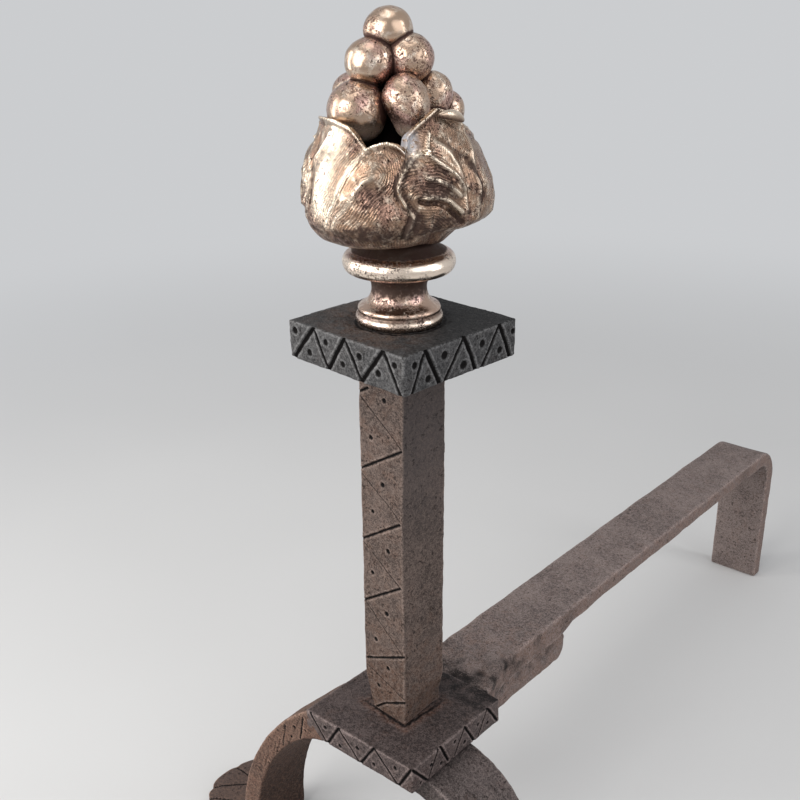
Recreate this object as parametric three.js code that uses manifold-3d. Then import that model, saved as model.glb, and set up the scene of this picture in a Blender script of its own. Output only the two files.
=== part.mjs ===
// A hand-forged iron fire dog with a brass leaf and berry finial.
// Millimetres, +Z up, front towards -Y. The floor is z = 0.
// The origin is the middle of the footprint on the floor.

import * as THREE from 'three';
import { mergeVertices } from 'three/addons/utils/BufferGeometryUtils.js';
import Module from 'manifold-3d';

const wasm = await Module();
wasm.setup();

// ---------- clearances ----------
const SEAT_GAP = 0.3; // between two pieces that rest on or are welded to each other
const HOLE_PLAY = 0.3; // all round a rod or tenon in its hole

// ---------- base plate ----------
const PLATE_TOP = 105; // height of its top face above the floor
const PLATE_SIDE = 65;
const PLATE_THICK = 13;

// ---------- post and its tenon ----------
const POST_X = -1; // from the plate's centre
const POST_Y = 2;
const POST_TURN = -4.5; // degrees, the post sits a little turned on the plate
const POST_SIDE = 25;
const POST_HEIGHT = 175;
const POST_FOOT_RISE = 17; // height of the hammered facets at the foot
const POST_FOOT_LEFT = 4.8; // how far the left facet comes in at the foot
const POST_FOOT_RIGHT = 2.5;
const TENON_SIDE = 13;
const RIVET_SIDE = 19; // the tenon's end, hammered wide under the leg's lap
const RIVET_THICK = 4;

// ---------- cap ----------
const CAP_SIDE = 65;
const CAP_THICK = 15;

// ---------- legs ----------
const LEG_WIDTH = 33.5;
const LEG_OUT = 84; // outer face of the ankle from the plate's middle
const LEG_THICK = 11; // at the lap and along the arch
const ANKLE_THICK = 11.5;
const RIGHT_LEG_MIDDLE = -4.25; // the right leg's middle from the plate's, front to back
const RIGHT_LAP = 15; // the lap reaches this far past the plate's middle
const LAP_BEND = 22; // where the right leg leaves the plate's underside
const WELD_DROP = 1.2; // the left leg's top lies this far under the plate's top
const WELD_TOE = 10.5; // the left leg's weld reaches this far under the plate
const KNEE_X = 61; // top face of the right leg where it turns down
const KNEE_DROP = 34; // under the plate's top

// ---------- feet ----------
const FOOT_THICK = 6;
const FAN_RADIUS = 39; // from the ankle's outer face to the creases' outer ends
const FAN_HALF_ANGLE = 33;
const TOE_CREASES = [-16, 16]; // degrees from straight out
const TOE_BULGE = 0.8; // of each toe past the fan's circle
const CREASE_DEPTH = 1.6;
const CREASE_WIDTH = 2.6;

// ---------- log bar and tongue ----------
const BAR_X = 0.5;
const BAR_WIDTH = 35;
const BAR_THICK = 9.5;
const BAR_RISE = 1; // its top over the plate's top
const BAR_REACH = 395; // back of the rear leg from the plate's middle
const BAR_BEND = 24; // outer radius of the turn down into the rear leg
const ROOT_THICK = 13.7; // where the tongue is welded under it
const ROOT_END = 108; // from the plate's middle
const ROOT_TAPER = 14;
const SCARF_END = 50; // the hammered slope down to the plate ends here
const SCARF_DIP = 2.4;
const TONGUE_THICK = 13;
const TONGUE_END = 116;
const TONGUE_ROUND = 5.5;

// ---------- finial ----------
const STUD_X = -0.7; // from the post's axis, in the post's own directions
const STUD_Y = -0.7;
const STUD_DIAMETER = 8;
const STUD_IN_POST = 20;
const STUD_IN_CUP = 9;
const FINIAL_TURN = 44.5; // degrees, the finial's face over the plate's near corner
const NECK_FOOT_RADIUS = 17.8;
const NECK_WAIST_RADIUS = 11.8;
const NECK_RING_RADIUS = 22.7;
const NECK_TOP_RADIUS = 14;
const NECK_HEIGHT = 33;
const CUP_RADIUS = 38.2;
const CUP_FLOOR = 14; // thickness of its bottom
const CUP_WALL = 2.6;
const CUP_SIDES = 60;
const CUP_STEPS = 9; // steps from its foot to the leaves' edge
const LEAF_TOP = 85; // height of the leaves' tips over the finial's seat
const LEAF_TIPS = [-62, 40, 160]; // degrees round from the finial's face
const LEAF_SKEW = 9; // degrees that each leaf leans past its tip
const LEAF_CREASE = 2.2;
const CURL_SHIFT = 20; // degrees from a leaf's tip to its rolled edge
const CURL_WIDTH = 27;
const CURL_HEIGHT = 29;
const CURL_DEPTH = 13;
const CURL_PROUD = 2.3; // how far the curl stands out of the cup
const FINIAL_HEIGHT = 121.6; // from its seat to the top berry
const BERRY_SIDES = 16;
const BED_RADIUS = 26; // of the core that carries the berries

// ---------- chiselled ornament ----------
const STROKE_DEPTH = 1.3;
const STROKE_BOLD = 1.9; // width of a heavy chisel stroke
const STROKE_FINE = 1.1;
const DOT_RADIUS = 1.15;
const DOT_DEPTH = 0.8;
const POST_TOOTH = 33.5; // pitch of the post's zigzag
const PLATE_TOOTH = 21.5; // pitch of the zigzag on the plate's front
const CHEVRON_PITCH = 20; // pitch of the cap's chevrons
const SIDE_CHEVRON_PITCH = 18.3; // pitch on the plate's right edge

// ---------- materials ----------
const wornIron = new THREE.MeshStandardMaterial({ color: 0x5a504b, roughness: 0.72, metalness: 0.6 });
const darkIron = new THREE.MeshStandardMaterial({ color: 0x3b3b37, roughness: 0.68, metalness: 0.6 });
const rustyIron = new THREE.MeshStandardMaterial({ color: 0x66564c, roughness: 0.78, metalness: 0.5 });
const brownIron = new THREE.MeshStandardMaterial({ color: 0x5b4033, roughness: 0.8, metalness: 0.4 });
const brightSteel = new THREE.MeshStandardMaterial({ color: 0x8d8f91, roughness: 0.4, metalness: 1 });
const turnedBrass = new THREE.MeshStandardMaterial({ color: 0xb39a6d, roughness: 0.36, metalness: 1 });
const castBrass = new THREE.MeshStandardMaterial({ color: 0xa58a60, roughness: 0.45, metalness: 1 });

// ---------- solids ----------
const radians = THREE.MathUtils.degToRad;

// A closed geometry as a solid that can be joined and cut.
function solid(geometry) {
  const bare = geometry.clone();
  bare.deleteAttribute('normal');
  bare.deleteAttribute('uv');
  const merged = mergeVertices(bare, 1e-4);
  const index = merged.index.array;
  const kept = [];
  for (let i = 0; i < index.length; i += 3) {
    const [a, b, c] = [index[i], index[i + 1], index[i + 2]];
    if (a !== b && b !== c && c !== a) kept.push(a, b, c);
  }
  const vertProperties = new Float32Array(merged.attributes.position.array);
  return new wasm.Manifold(new wasm.Mesh({ numProp: 3, vertProperties, triVerts: new Uint32Array(kept) }));
}

// A finished solid as a named mesh.
function piece(name, body, material) {
  const cut = body.getMesh();
  const geometry = new THREE.BufferGeometry();
  geometry.setAttribute('position', new THREE.BufferAttribute(new Float32Array(cut.vertProperties), 3));
  geometry.setIndex(new THREE.BufferAttribute(new Uint32Array(cut.triVerts), 1));
  geometry.computeVertexNormals();
  const mesh = new THREE.Mesh(geometry, material);
  mesh.name = name;
  return mesh;
}

function box(width, depth, height, x = 0, y = 0, z = 0, turn = 0) {
  const geometry = new THREE.BoxGeometry(width, depth, height);
  geometry.rotateZ(radians(turn));
  geometry.translate(x, y, z);
  return solid(geometry);
}

// An upright cylinder from one height to another.
function rod(radius, bottom, top, x = 0, y = 0, sides = 20) {
  const geometry = new THREE.CylinderGeometry(radius, radius, top - bottom, sides);
  geometry.rotateX(Math.PI / 2);
  geometry.translate(x, y, (bottom + top) / 2);
  return solid(geometry);
}

// A profile of [radius, height] points turned round the Z axis.
function turned(points, sides) {
  const profile = points.map(([radius, height]) => new THREE.Vector2(radius, height));
  const geometry = new THREE.LatheGeometry(profile, sides);
  geometry.rotateX(Math.PI / 2);
  return solid(geometry);
}

// A shape drawn in the XZ plane, given thickness along Y between two places.
function slabAlongY(shape, front, back, curveSteps = 14) {
  const geometry = new THREE.ExtrudeGeometry(shape, {
    depth: back - front,
    bevelEnabled: false,
    curveSegments: curveSteps,
  });
  geometry.rotateX(Math.PI / 2);
  geometry.translate(0, back, 0);
  return solid(geometry);
}

// A shape drawn in the YZ plane, given thickness along X between two places.
function slabAlongX(shape, left, right, curveSteps = 14) {
  const geometry = new THREE.ExtrudeGeometry(shape, {
    depth: right - left,
    bevelEnabled: false,
    curveSegments: curveSteps,
  });
  const turn = new THREE.Matrix4().makeBasis(
    new THREE.Vector3(0, 1, 0),
    new THREE.Vector3(0, 0, 1),
    new THREE.Vector3(1, 0, 0),
  );
  geometry.applyMatrix4(turn);
  geometry.translate(left, 0, 0);
  return solid(geometry);
}

// ---------- chisel strokes and punched dots ----------
// A V-shaped cutter along a straight stroke on a face.
function strokeCutter(from, to, faceNormal, width) {
  const overrun = 0.6;
  const lift = 0.5;
  const along = new THREE.Vector3().subVectors(to, from);
  const length = along.length() + 2 * overrun;
  along.normalize();
  const spread = (width / 2) * ((STROKE_DEPTH + lift) / STROKE_DEPTH);
  const vee = new THREE.Shape();
  vee.moveTo(-spread, lift);
  vee.lineTo(0, -STROKE_DEPTH);
  vee.lineTo(spread, lift);
  vee.closePath();
  const geometry = new THREE.ExtrudeGeometry(vee, { depth: length, bevelEnabled: false });
  const across = new THREE.Vector3().crossVectors(faceNormal, along);
  const frame = new THREE.Matrix4().makeBasis(across, faceNormal, along);
  frame.setPosition(from.clone().addScaledVector(along, -overrun));
  geometry.applyMatrix4(frame);
  return solid(geometry);
}

// A ball that leaves a shallow round dent in a face.
function dotCutter(place, faceNormal) {
  const ball = (DOT_RADIUS * DOT_RADIUS + DOT_DEPTH * DOT_DEPTH) / (2 * DOT_DEPTH);
  const geometry = new THREE.SphereGeometry(ball, 6, 5);
  const centre = place.clone().addScaledVector(faceNormal, ball - DOT_DEPTH);
  geometry.translate(centre.x, centre.y, centre.z);
  return solid(geometry);
}

// A face to draw on: u runs along its lower edge and v up, from its lower left corner.
function drawingFace(corner, right, up, faceNormal) {
  const at = (u, v) => corner.clone().addScaledVector(right, u).addScaledVector(up, v);
  return {
    stroke: (u0, v0, u1, v1, width) => strokeCutter(at(u0, v0), at(u1, v1), faceNormal, width),
    dot: (u, v) => dotCutter(at(u, v), faceNormal),
  };
}

const UP = new THREE.Vector3(0, 0, 1);

// One upright side of a square block centred on the Z axis. Turn 0 is the front.
function blockFace(side, bottom, turn) {
  const spin = new THREE.Matrix4().makeRotationZ(radians(turn));
  const corner = new THREE.Vector3(-side / 2, -side / 2, bottom).applyMatrix4(spin);
  const right = new THREE.Vector3(1, 0, 0).applyMatrix4(spin);
  const faceNormal = new THREE.Vector3(0, -1, 0).applyMatrix4(spin);
  return drawingFace(corner, right, UP, faceNormal);
}

// Chevrons that point up, each of a heavy and a fine stroke, with dots inside and between.
function chevrons(face, length, height, pitch) {
  const count = Math.floor(length / pitch);
  const start = (length - (count - 1) * pitch) / 2;
  const half = pitch / 2 - 1;
  const cutters = [];
  for (let k = 0; k < count; k += 1) {
    const middle = start + k * pitch;
    cutters.push(face.stroke(middle, height, middle - half, 0, STROKE_BOLD));
    cutters.push(face.stroke(middle, height, middle + half, 0, STROKE_FINE));
    cutters.push(face.dot(middle, height * 0.28));
    cutters.push(face.dot(middle - pitch / 2, height * 0.7));
  }
  cutters.push(face.dot(start + (count - 0.5) * pitch, height * 0.7));
  return cutters;
}

// A saw-toothed line: a steep heavy stroke up, then a long fine one down.
function sawTeeth(face, length, height, pitch) {
  const steep = pitch * 0.37;
  const cutters = [];
  for (let peak = length; peak > steep; peak -= pitch) {
    cutters.push(face.stroke(peak - steep, 0, peak, height, STROKE_BOLD));
    cutters.push(face.dot(peak - steep - pitch * 0.08, height * 0.66));
    if (peak < length) cutters.push(face.stroke(peak, height, peak + pitch - steep, 0, STROKE_FINE));
    if (peak < length) cutters.push(face.dot(peak, height * 0.27));
  }
  return cutters;
}

// The zigzag on the post's front, drawn from the top down.
function postZigzag(face) {
  const top = POST_HEIGHT - POST_SIDE * 0.68;
  const cutters = [];
  for (let tooth = top; tooth > POST_TOOTH / 2; tooth -= POST_TOOTH) {
    const turnBack = tooth - POST_TOOTH * 0.54;
    cutters.push(face.stroke(0, tooth, POST_SIDE, turnBack, STROKE_FINE));
    cutters.push(face.dot(POST_SIDE * 0.58, tooth));
    cutters.push(face.dot(POST_SIDE * 0.28, turnBack));
    if (tooth - POST_TOOTH > 0) {
      cutters.push(face.stroke(POST_SIDE, turnBack, 0, tooth - POST_TOOTH, STROKE_BOLD));
    }
  }
  return cutters;
}

function engrave(body, cutters) {
  return cutters.reduce((left, cutter) => left.subtract(cutter), body);
}

// ---------- base plate ----------
const plateHalf = PLATE_SIDE / 2;
const plateBottom = PLATE_TOP - PLATE_THICK;
const tenonHole = TENON_SIDE + 2 * HOLE_PLAY;

function basePlate() {
  const block = box(PLATE_SIDE, PLATE_SIDE, PLATE_THICK, 0, 0, PLATE_TOP - PLATE_THICK / 2);
  const mortise = box(tenonHole, tenonHole, 3 * PLATE_THICK, POST_X, POST_Y, PLATE_TOP, POST_TURN);
  const front = blockFace(PLATE_SIDE, plateBottom, 0);
  const right = blockFace(PLATE_SIDE, plateBottom, 90);
  const marks = [
    ...sawTeeth(front, PLATE_SIDE, PLATE_THICK, PLATE_TOOTH),
    ...chevrons(right, PLATE_SIDE, PLATE_THICK, SIDE_CHEVRON_PITCH),
  ];
  return engrave(block.subtract(mortise), marks);
}

// ---------- legs ----------
const ankleInner = LEG_OUT - ANKLE_THICK;
const leftLegFront = -plateHalf;
const rightLegFront = RIGHT_LEG_MIDDLE - LEG_WIDTH / 2;
const lapTop = plateBottom - SEAT_GAP;
const lapBottom = lapTop - LEG_THICK;

// The fan-shaped foot, its toes towards +X, centred on y = 0.
function fanFoot() {
  const rim = (degrees, radius) => {
    const angle = radians(degrees);
    return [LEG_OUT + radius * Math.cos(angle), radius * Math.sin(angle)];
  };
  const outline = new THREE.Shape();
  outline.moveTo(ankleInner, LEG_WIDTH / 2);
  outline.lineTo(ankleInner, -LEG_WIDTH / 2);
  outline.lineTo(LEG_OUT, -LEG_WIDTH / 2);
  const edges = [-FAN_HALF_ANGLE, ...TOE_CREASES, FAN_HALF_ANGLE];
  outline.lineTo(...rim(edges[0], FAN_RADIUS));
  for (let k = 1; k < edges.length; k += 1) {
    const middle = (edges[k - 1] + edges[k]) / 2;
    const halfToe = radians((edges[k] - edges[k - 1]) / 2);
    const toe = rim(middle, FAN_RADIUS / Math.cos(halfToe) + 2 * TOE_BULGE);
    outline.quadraticCurveTo(...toe, ...rim(edges[k], FAN_RADIUS));
  }
  outline.lineTo(LEG_OUT, LEG_WIDTH / 2);
  outline.closePath();
  const geometry = new THREE.ExtrudeGeometry(outline, {
    depth: FOOT_THICK,
    bevelEnabled: false,
    curveSegments: 5,
  });
  return solid(geometry);
}

// The creases between the toes, cut along the top of the foot at y = 0.
function toeCreases() {
  return TOE_CREASES.map((degrees) => {
    const lift = 1;
    const spread = (CREASE_WIDTH / 2) * ((CREASE_DEPTH + lift) / CREASE_DEPTH);
    const vee = new THREE.Shape();
    vee.moveTo(-spread, lift);
    vee.lineTo(0, -CREASE_DEPTH);
    vee.lineTo(spread, lift);
    vee.closePath();
    const geometry = new THREE.ExtrudeGeometry(vee, { depth: FAN_RADIUS, bevelEnabled: false });
    const along = new THREE.Vector3(Math.cos(radians(degrees)), Math.sin(radians(degrees)), 0);
    const across = new THREE.Vector3().crossVectors(UP, along);
    const frame = new THREE.Matrix4().makeBasis(across, UP, along);
    const start = FAN_RADIUS * 0.3;
    frame.setPosition(LEG_OUT + start * along.x, start * along.y, FOOT_THICK);
    geometry.applyMatrix4(frame);
    return solid(geometry);
  });
}

// A foot under a leg whose front edge is given, on the right side of the dog.
function footUnder(legFront) {
  const middle = legFront + LEG_WIDTH / 2;
  return engrave(fanFoot(), toeCreases()).translate(0, middle, 0);
}

// Points on the left leg's outer and inner curves, t from the plate (0) to the foot (1).
function archCurve(startX, startZ, endX, shoulderX, shoulderZ, shinX, shinZ) {
  const run = endX - startX;
  const point = (x, z) => new THREE.Vector2(startX + run * x, startZ * (1 - z));
  return new THREE.CubicBezierCurve(
    point(0, 0),
    point(shoulderX, shoulderZ),
    point(shinX, shinZ),
    new THREE.Vector2(endX, FOOT_THICK),
  );
}

const weldTop = PLATE_TOP - WELD_DROP;
const leftOuter = archCurve(plateHalf + SEAT_GAP, weldTop, LEG_OUT, 0.38, 0.12, 0.96, 0.52);
const leftInner = archCurve(plateHalf - WELD_TOE, lapTop, ankleInner, 0.4, 0.05, 0.95, 0.38);

// Drawn on the right and mirrored, so that both legs share one way of building.
function leftLeg() {
  const side = new THREE.Shape();
  side.moveTo(plateHalf + SEAT_GAP, lapTop);
  side.lineTo(leftOuter.v0.x, leftOuter.v0.y);
  side.bezierCurveTo(leftOuter.v1.x, leftOuter.v1.y, leftOuter.v2.x, leftOuter.v2.y, LEG_OUT, FOOT_THICK);
  side.lineTo(LEG_OUT, 0);
  side.lineTo(ankleInner, 0);
  side.lineTo(ankleInner, FOOT_THICK);
  side.bezierCurveTo(leftInner.v2.x, leftInner.v2.y, leftInner.v1.x, leftInner.v1.y, leftInner.v0.x, lapTop);
  side.closePath();
  const bar = slabAlongY(side, leftLegFront, leftLegFront + LEG_WIDTH);
  const body = bar.add(footUnder(leftLegFront));
  return engrave(body, archStrokes()).mirror([1, 0, 0]);
}

// Cross strokes and dots that carry the plate's ornament on over the arch.
function archStrokes() {
  const faceNormal = new THREE.Vector3(0, -1, 0);
  const onFront = (curve, t) => {
    const place = curve.getPoint(t);
    return new THREE.Vector3(place.x, leftLegFront, place.y);
  };
  const strokes = [0.06, 0.22, 0.38];
  const cutters = [];
  strokes.forEach((t, k) => {
    const width = k === 0 ? STROKE_BOLD : STROKE_FINE;
    cutters.push(strokeCutter(onFront(leftOuter, t), onFront(leftInner, t + 0.16), faceNormal, width));
    const dot = onFront(leftOuter, t + 0.08).lerp(onFront(leftInner, t + 0.24), 0.45);
    cutters.push(dotCutter(dot, faceNormal));
  });
  return cutters;
}

function rightLeg() {
  const kneeZ = PLATE_TOP - KNEE_DROP;
  const shinRun = LEG_OUT - KNEE_X;
  const side = new THREE.Shape();
  side.moveTo(-RIGHT_LAP, lapBottom);
  side.lineTo(LAP_BEND, lapBottom);
  side.bezierCurveTo(
    LAP_BEND + (ankleInner - LAP_BEND) * 0.5, lapBottom - 2,
    ankleInner - 3, kneeZ - LEG_THICK * 1.9,
    ankleInner, FOOT_THICK,
  );
  side.lineTo(ankleInner, 0);
  side.lineTo(LEG_OUT, 0);
  side.lineTo(LEG_OUT, FOOT_THICK);
  side.bezierCurveTo(
    LEG_OUT - shinRun * 0.08, FOOT_THICK + (kneeZ - FOOT_THICK) * 0.43,
    KNEE_X + shinRun * 0.3, kneeZ - shinRun * 0.52,
    KNEE_X, kneeZ,
  );
  side.bezierCurveTo(
    KNEE_X - shinRun * 0.3, kneeZ + shinRun * 0.52,
    LAP_BEND + (KNEE_X - LAP_BEND) * 0.42, lapTop - 0.4,
    LAP_BEND, lapTop,
  );
  side.lineTo(-RIGHT_LAP, lapTop);
  side.closePath();
  const bar = slabAlongY(side, rightLegFront, rightLegFront + LEG_WIDTH);
  const mortise = box(tenonHole, tenonHole, 3 * LEG_THICK, POST_X, POST_Y, lapBottom, POST_TURN);
  return bar.subtract(mortise).add(footUnder(rightLegFront));
}

// ---------- log bar and tongue ----------
const barTop = PLATE_TOP + BAR_RISE;
const barFront = plateHalf + SEAT_GAP;
const rootBottom = barTop - ROOT_THICK;
const tongueTop = Math.min(rootBottom, plateBottom) - SEAT_GAP;
const rivetHalf = RIVET_SIDE / 2;
const rivetReach = rivetHalf * (Math.cos(radians(POST_TURN)) + Math.abs(Math.sin(radians(POST_TURN))));
const tongueFront = Math.max(rightLegFront + LEG_WIDTH, POST_Y + rivetReach) + SEAT_GAP;

function logBar() {
  const rearInner = BAR_REACH - BAR_THICK;
  const under = barTop - BAR_THICK;
  const side = new THREE.Shape();
  side.moveTo(barFront, rootBottom);
  side.lineTo(ROOT_END, rootBottom);
  side.lineTo(ROOT_END + ROOT_TAPER, under);
  side.lineTo(BAR_REACH - BAR_BEND, under);
  side.absarc(BAR_REACH - BAR_BEND, barTop - BAR_BEND, BAR_BEND - BAR_THICK, Math.PI / 2, 0, true);
  side.lineTo(rearInner, 0);
  side.lineTo(BAR_REACH, 0);
  side.absarc(BAR_REACH - BAR_BEND, barTop - BAR_BEND, BAR_BEND, 0, Math.PI / 2, false);
  side.lineTo(SCARF_END, barTop);
  side.lineTo(barFront + SCARF_DIP, barTop - SCARF_DIP);
  side.lineTo(barFront, barTop - SCARF_DIP);
  side.closePath();
  return slabAlongX(side, BAR_X - BAR_WIDTH / 2, BAR_X + BAR_WIDTH / 2);
}

function backTongue() {
  const bottom = tongueTop - TONGUE_THICK;
  const side = new THREE.Shape();
  side.moveTo(tongueFront, tongueTop);
  side.lineTo(tongueFront, bottom);
  side.lineTo(TONGUE_END - TONGUE_ROUND, bottom);
  side.absarc(TONGUE_END - TONGUE_ROUND, bottom + TONGUE_ROUND, TONGUE_ROUND, -Math.PI / 2, 0, false);
  side.lineTo(TONGUE_END, tongueTop);
  side.closePath();
  return slabAlongX(side, BAR_X - BAR_WIDTH / 2, BAR_X + BAR_WIDTH / 2, 6);
}

// ---------- post, cap and stud, in the post's own frame: z = 0 at its shoulder ----------
const capBottom = POST_HEIGHT + SEAT_GAP;
const capTop = capBottom + CAP_THICK;
const finialSeat = capTop + SEAT_GAP;
const studHole = STUD_DIAMETER / 2 + HOLE_PLAY;

// A wedge that slopes one side of the post's foot inwards.
function footFacet(sideways, inset) {
  const outer = sideways * (POST_SIDE / 2 + 1);
  const face = sideways * (POST_SIDE / 2);
  const wedge = new THREE.Shape();
  wedge.moveTo(face, POST_FOOT_RISE);
  wedge.lineTo(outer, POST_FOOT_RISE);
  wedge.lineTo(outer, -1);
  wedge.lineTo(face - sideways * inset, -1);
  wedge.closePath();
  return slabAlongY(wedge, -POST_SIDE, POST_SIDE);
}

function post() {
  const shaft = box(POST_SIDE, POST_SIDE, POST_HEIGHT, 0, 0, POST_HEIGHT / 2);
  const shaped = shaft.subtract(footFacet(-1, POST_FOOT_LEFT)).subtract(footFacet(1, POST_FOOT_RIGHT));
  const rivetTop = lapBottom - PLATE_TOP - 2 * SEAT_GAP;
  const tenon = box(TENON_SIDE, TENON_SIDE, 2 - rivetTop, 0, 0, (rivetTop + 1) / 2);
  const rivet = box(RIVET_SIDE, RIVET_SIDE, RIVET_THICK, 0, 0, rivetTop - RIVET_THICK / 2);
  const bore = rod(studHole, POST_HEIGHT - STUD_IN_POST - SEAT_GAP, POST_HEIGHT + 1, STUD_X, STUD_Y);
  const body = shaped.add(tenon).add(rivet).subtract(bore);
  return engrave(body, postZigzag(blockFace(POST_SIDE, 0, 0)));
}

function capPlate() {
  const block = box(CAP_SIDE, CAP_SIDE, CAP_THICK, 0, 0, capBottom + CAP_THICK / 2);
  const bore = rod(studHole, capBottom - 1, capTop + 1, STUD_X, STUD_Y);
  const marks = [0, 90, 180, 270].flatMap((turn) => {
    return chevrons(blockFace(CAP_SIDE, capBottom, turn), CAP_SIDE, CAP_THICK, CHEVRON_PITCH);
  });
  return engrave(block.subtract(bore), marks);
}

function finialStud() {
  const top = finialSeat + NECK_HEIGHT + SEAT_GAP + STUD_IN_CUP;
  return rod(STUD_DIAMETER / 2, POST_HEIGHT - STUD_IN_POST, top, STUD_X, STUD_Y);
}

// ---------- brass finial, in its own frame: z = 0 at its seat, its face towards -Y ----------
const cupBase = NECK_HEIGHT + SEAT_GAP;
const studTip = cupBase + STUD_IN_CUP;

function finialNeck() {
  const ring = NECK_RING_RADIUS;
  const waist = NECK_WAIST_RADIUS;
  const foot = NECK_FOOT_RADIUS;
  const rise = NECK_HEIGHT;
  const ringHalf = rise * 0.14;
  const ringMiddle = rise * 0.75;
  const points = [[studHole, rise], [studHole, 0], [foot - 0.8, 0], [foot, rise * 0.03], [foot, rise * 0.09]];
  points.push([foot - 0.7, rise * 0.12], [foot - 1.1, rise * 0.14], [foot - 1.2, rise * 0.165]);
  const hollow = new THREE.CubicBezierCurve(
    new THREE.Vector2(foot - 1.8, rise * 0.17),
    new THREE.Vector2(waist - 0.6, rise * 0.27),
    new THREE.Vector2(waist - 1.2, rise * 0.46),
    new THREE.Vector2(ring - 6.5, rise * 0.6),
  );
  hollow.getPoints(8).forEach((place) => points.push([place.x, place.y]));
  const steps = 6;
  for (let k = 0; k <= steps; k += 1) {
    const angle = radians(-75 + (150 * k) / steps);
    points.push([ring - ringHalf + ringHalf * Math.cos(angle), ringMiddle + ringHalf * Math.sin(angle)]);
  }
  points.push([ring - 5.5, rise * 0.9], [NECK_TOP_RADIUS, rise], [studHole, rise]);
  return turned(points, 32);
}

// Degrees from a leaf's tip, and the height of its edge as a share of the tip's.
const leafEdge = new THREE.SplineCurve([
  new THREE.Vector2(-62, 0.853),
  new THREE.Vector2(-42, 0.882),
  new THREE.Vector2(-25, 0.947),
  new THREE.Vector2(-3, 1),
  new THREE.Vector2(14, 0.965),
  new THREE.Vector2(28, 0.935),
  new THREE.Vector2(41, 0.865),
  new THREE.Vector2(53, 0.888),
  new THREE.Vector2(79, 0.847),
]);

// Signed degrees from one direction round the cup to another, between -180 and 180.
function apart(from, to) {
  return THREE.MathUtils.euclideanModulo(to - from + 180, 360) - 180;
}

// The value on a curve whose first coordinate only grows, by halving.
function curveAt(curve, wanted) {
  let low = 0;
  let high = 1;
  for (let k = 0; k < 20; k += 1) {
    const middle = (low + high) / 2;
    if (curve.getPoint(middle).x < wanted) low = middle;
    else high = middle;
  }
  return curve.getPoint(high).y;
}

// Degrees from the middle of the nearest leaf.
function leafOffset(degrees) {
  const offsets = LEAF_TIPS.map((tip) => apart(tip + LEAF_SKEW, degrees));
  return offsets.reduce((best, offset) => (Math.abs(offset) < Math.abs(best) ? offset : best));
}

function edgeHeight(degrees) {
  return LEAF_TOP * curveAt(leafEdge, leafOffset(degrees) + LEAF_SKEW);
}

// Share of the way from the cup's base up to the leaves' tips, and of the cup's radius there.
const cupOutside = new THREE.SplineCurve([
  new THREE.Vector2(0, 0.52),
  new THREE.Vector2(0.09, 0.8),
  new THREE.Vector2(0.23, 0.95),
  new THREE.Vector2(0.39, 1),
  new THREE.Vector2(0.54, 0.97),
  new THREE.Vector2(0.66, 0.91),
  new THREE.Vector2(0.77, 0.8),
  new THREE.Vector2(0.89, 0.73),
  new THREE.Vector2(1.05, 0.7),
]);

function cupRadius(height) {
  return curveAt(cupOutside, (height - cupBase) / (LEAF_TOP - cupBase)) * CUP_RADIUS;
}

// A turned cup whose edge is then moved up and down into leaves, with a crease at each notch.
function leafBowl() {
  const floor = cupBase + CUP_FLOOR;
  const last = 2 * CUP_STEPS + 1;
  const blank = [];
  for (let k = 0; k <= last; k += 1) blank.push(new THREE.Vector2(k % last === 0 ? 0 : 1, k));
  const geometry = new THREE.LatheGeometry(blank, CUP_SIDES);
  const place = geometry.attributes.position;
  for (let i = 0; i <= CUP_SIDES; i += 1) {
    const degrees = ((i % CUP_SIDES) * 360) / CUP_SIDES;
    const edge = edgeHeight(degrees);
    const fromMeeting = Math.max(60 - Math.abs(leafOffset(degrees)), 0);
    const crease = LEAF_CREASE * Math.exp(-((fromMeeting / 9) ** 2));
    for (let k = 0; k <= last; k += 1) {
      const outside = k <= CUP_STEPS;
      const step = outside ? k - 1 : 2 * CUP_STEPS - k;
      const share = Math.max(step, 0) / (CUP_STEPS - 1);
      const low = outside ? cupBase : floor;
      const height = low + (edge - low) * share;
      const wall = outside ? 0 : CUP_WALL;
      const radius = k % last === 0 ? 0 : cupRadius(height) - wall - crease * Math.min(2 * share, 1);
      const angle = radians(degrees);
      place.setXYZ(i * blank.length + k, radius * Math.sin(angle), height, radius * Math.cos(angle));
    }
  }
  geometry.rotateX(Math.PI / 2);
  return solid(geometry);
}

// The turned-over side of a leaf, a plump lobe low on the cup's side.
function rolledEdge(degrees) {
  const geometry = new THREE.SphereGeometry(1, 16, 10);
  geometry.scale(CURL_WIDTH / 2, CURL_DEPTH / 2, CURL_HEIGHT / 2);
  geometry.translate(0, -(CUP_RADIUS + CURL_PROUD - CURL_DEPTH / 2), cupBase + CURL_HEIGHT * 0.72);
  geometry.rotateZ(radians(degrees));
  return solid(geometry);
}

// [sideways, towards the face, height, radius] of each berry, as shares of the finial's height.
const BERRIES = [
  [-0.035, 0, 0.928, 0.072],
  [-0.096, 0.041, 0.839, 0.072],
  [0.036, 0.025, 0.849, 0.067],
  [-0.028, -0.074, 0.842, 0.071],
  [-0.135, 0.066, 0.699, 0.087],
  [0.012, 0.099, 0.717, 0.079],
  [0.103, 0, 0.737, 0.069],
  [0.12, -0.066, 0.678, 0.071],
  [-0.141, -0.066, 0.729, 0.066],
  [-0.016, -0.119, 0.712, 0.077],
];

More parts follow.
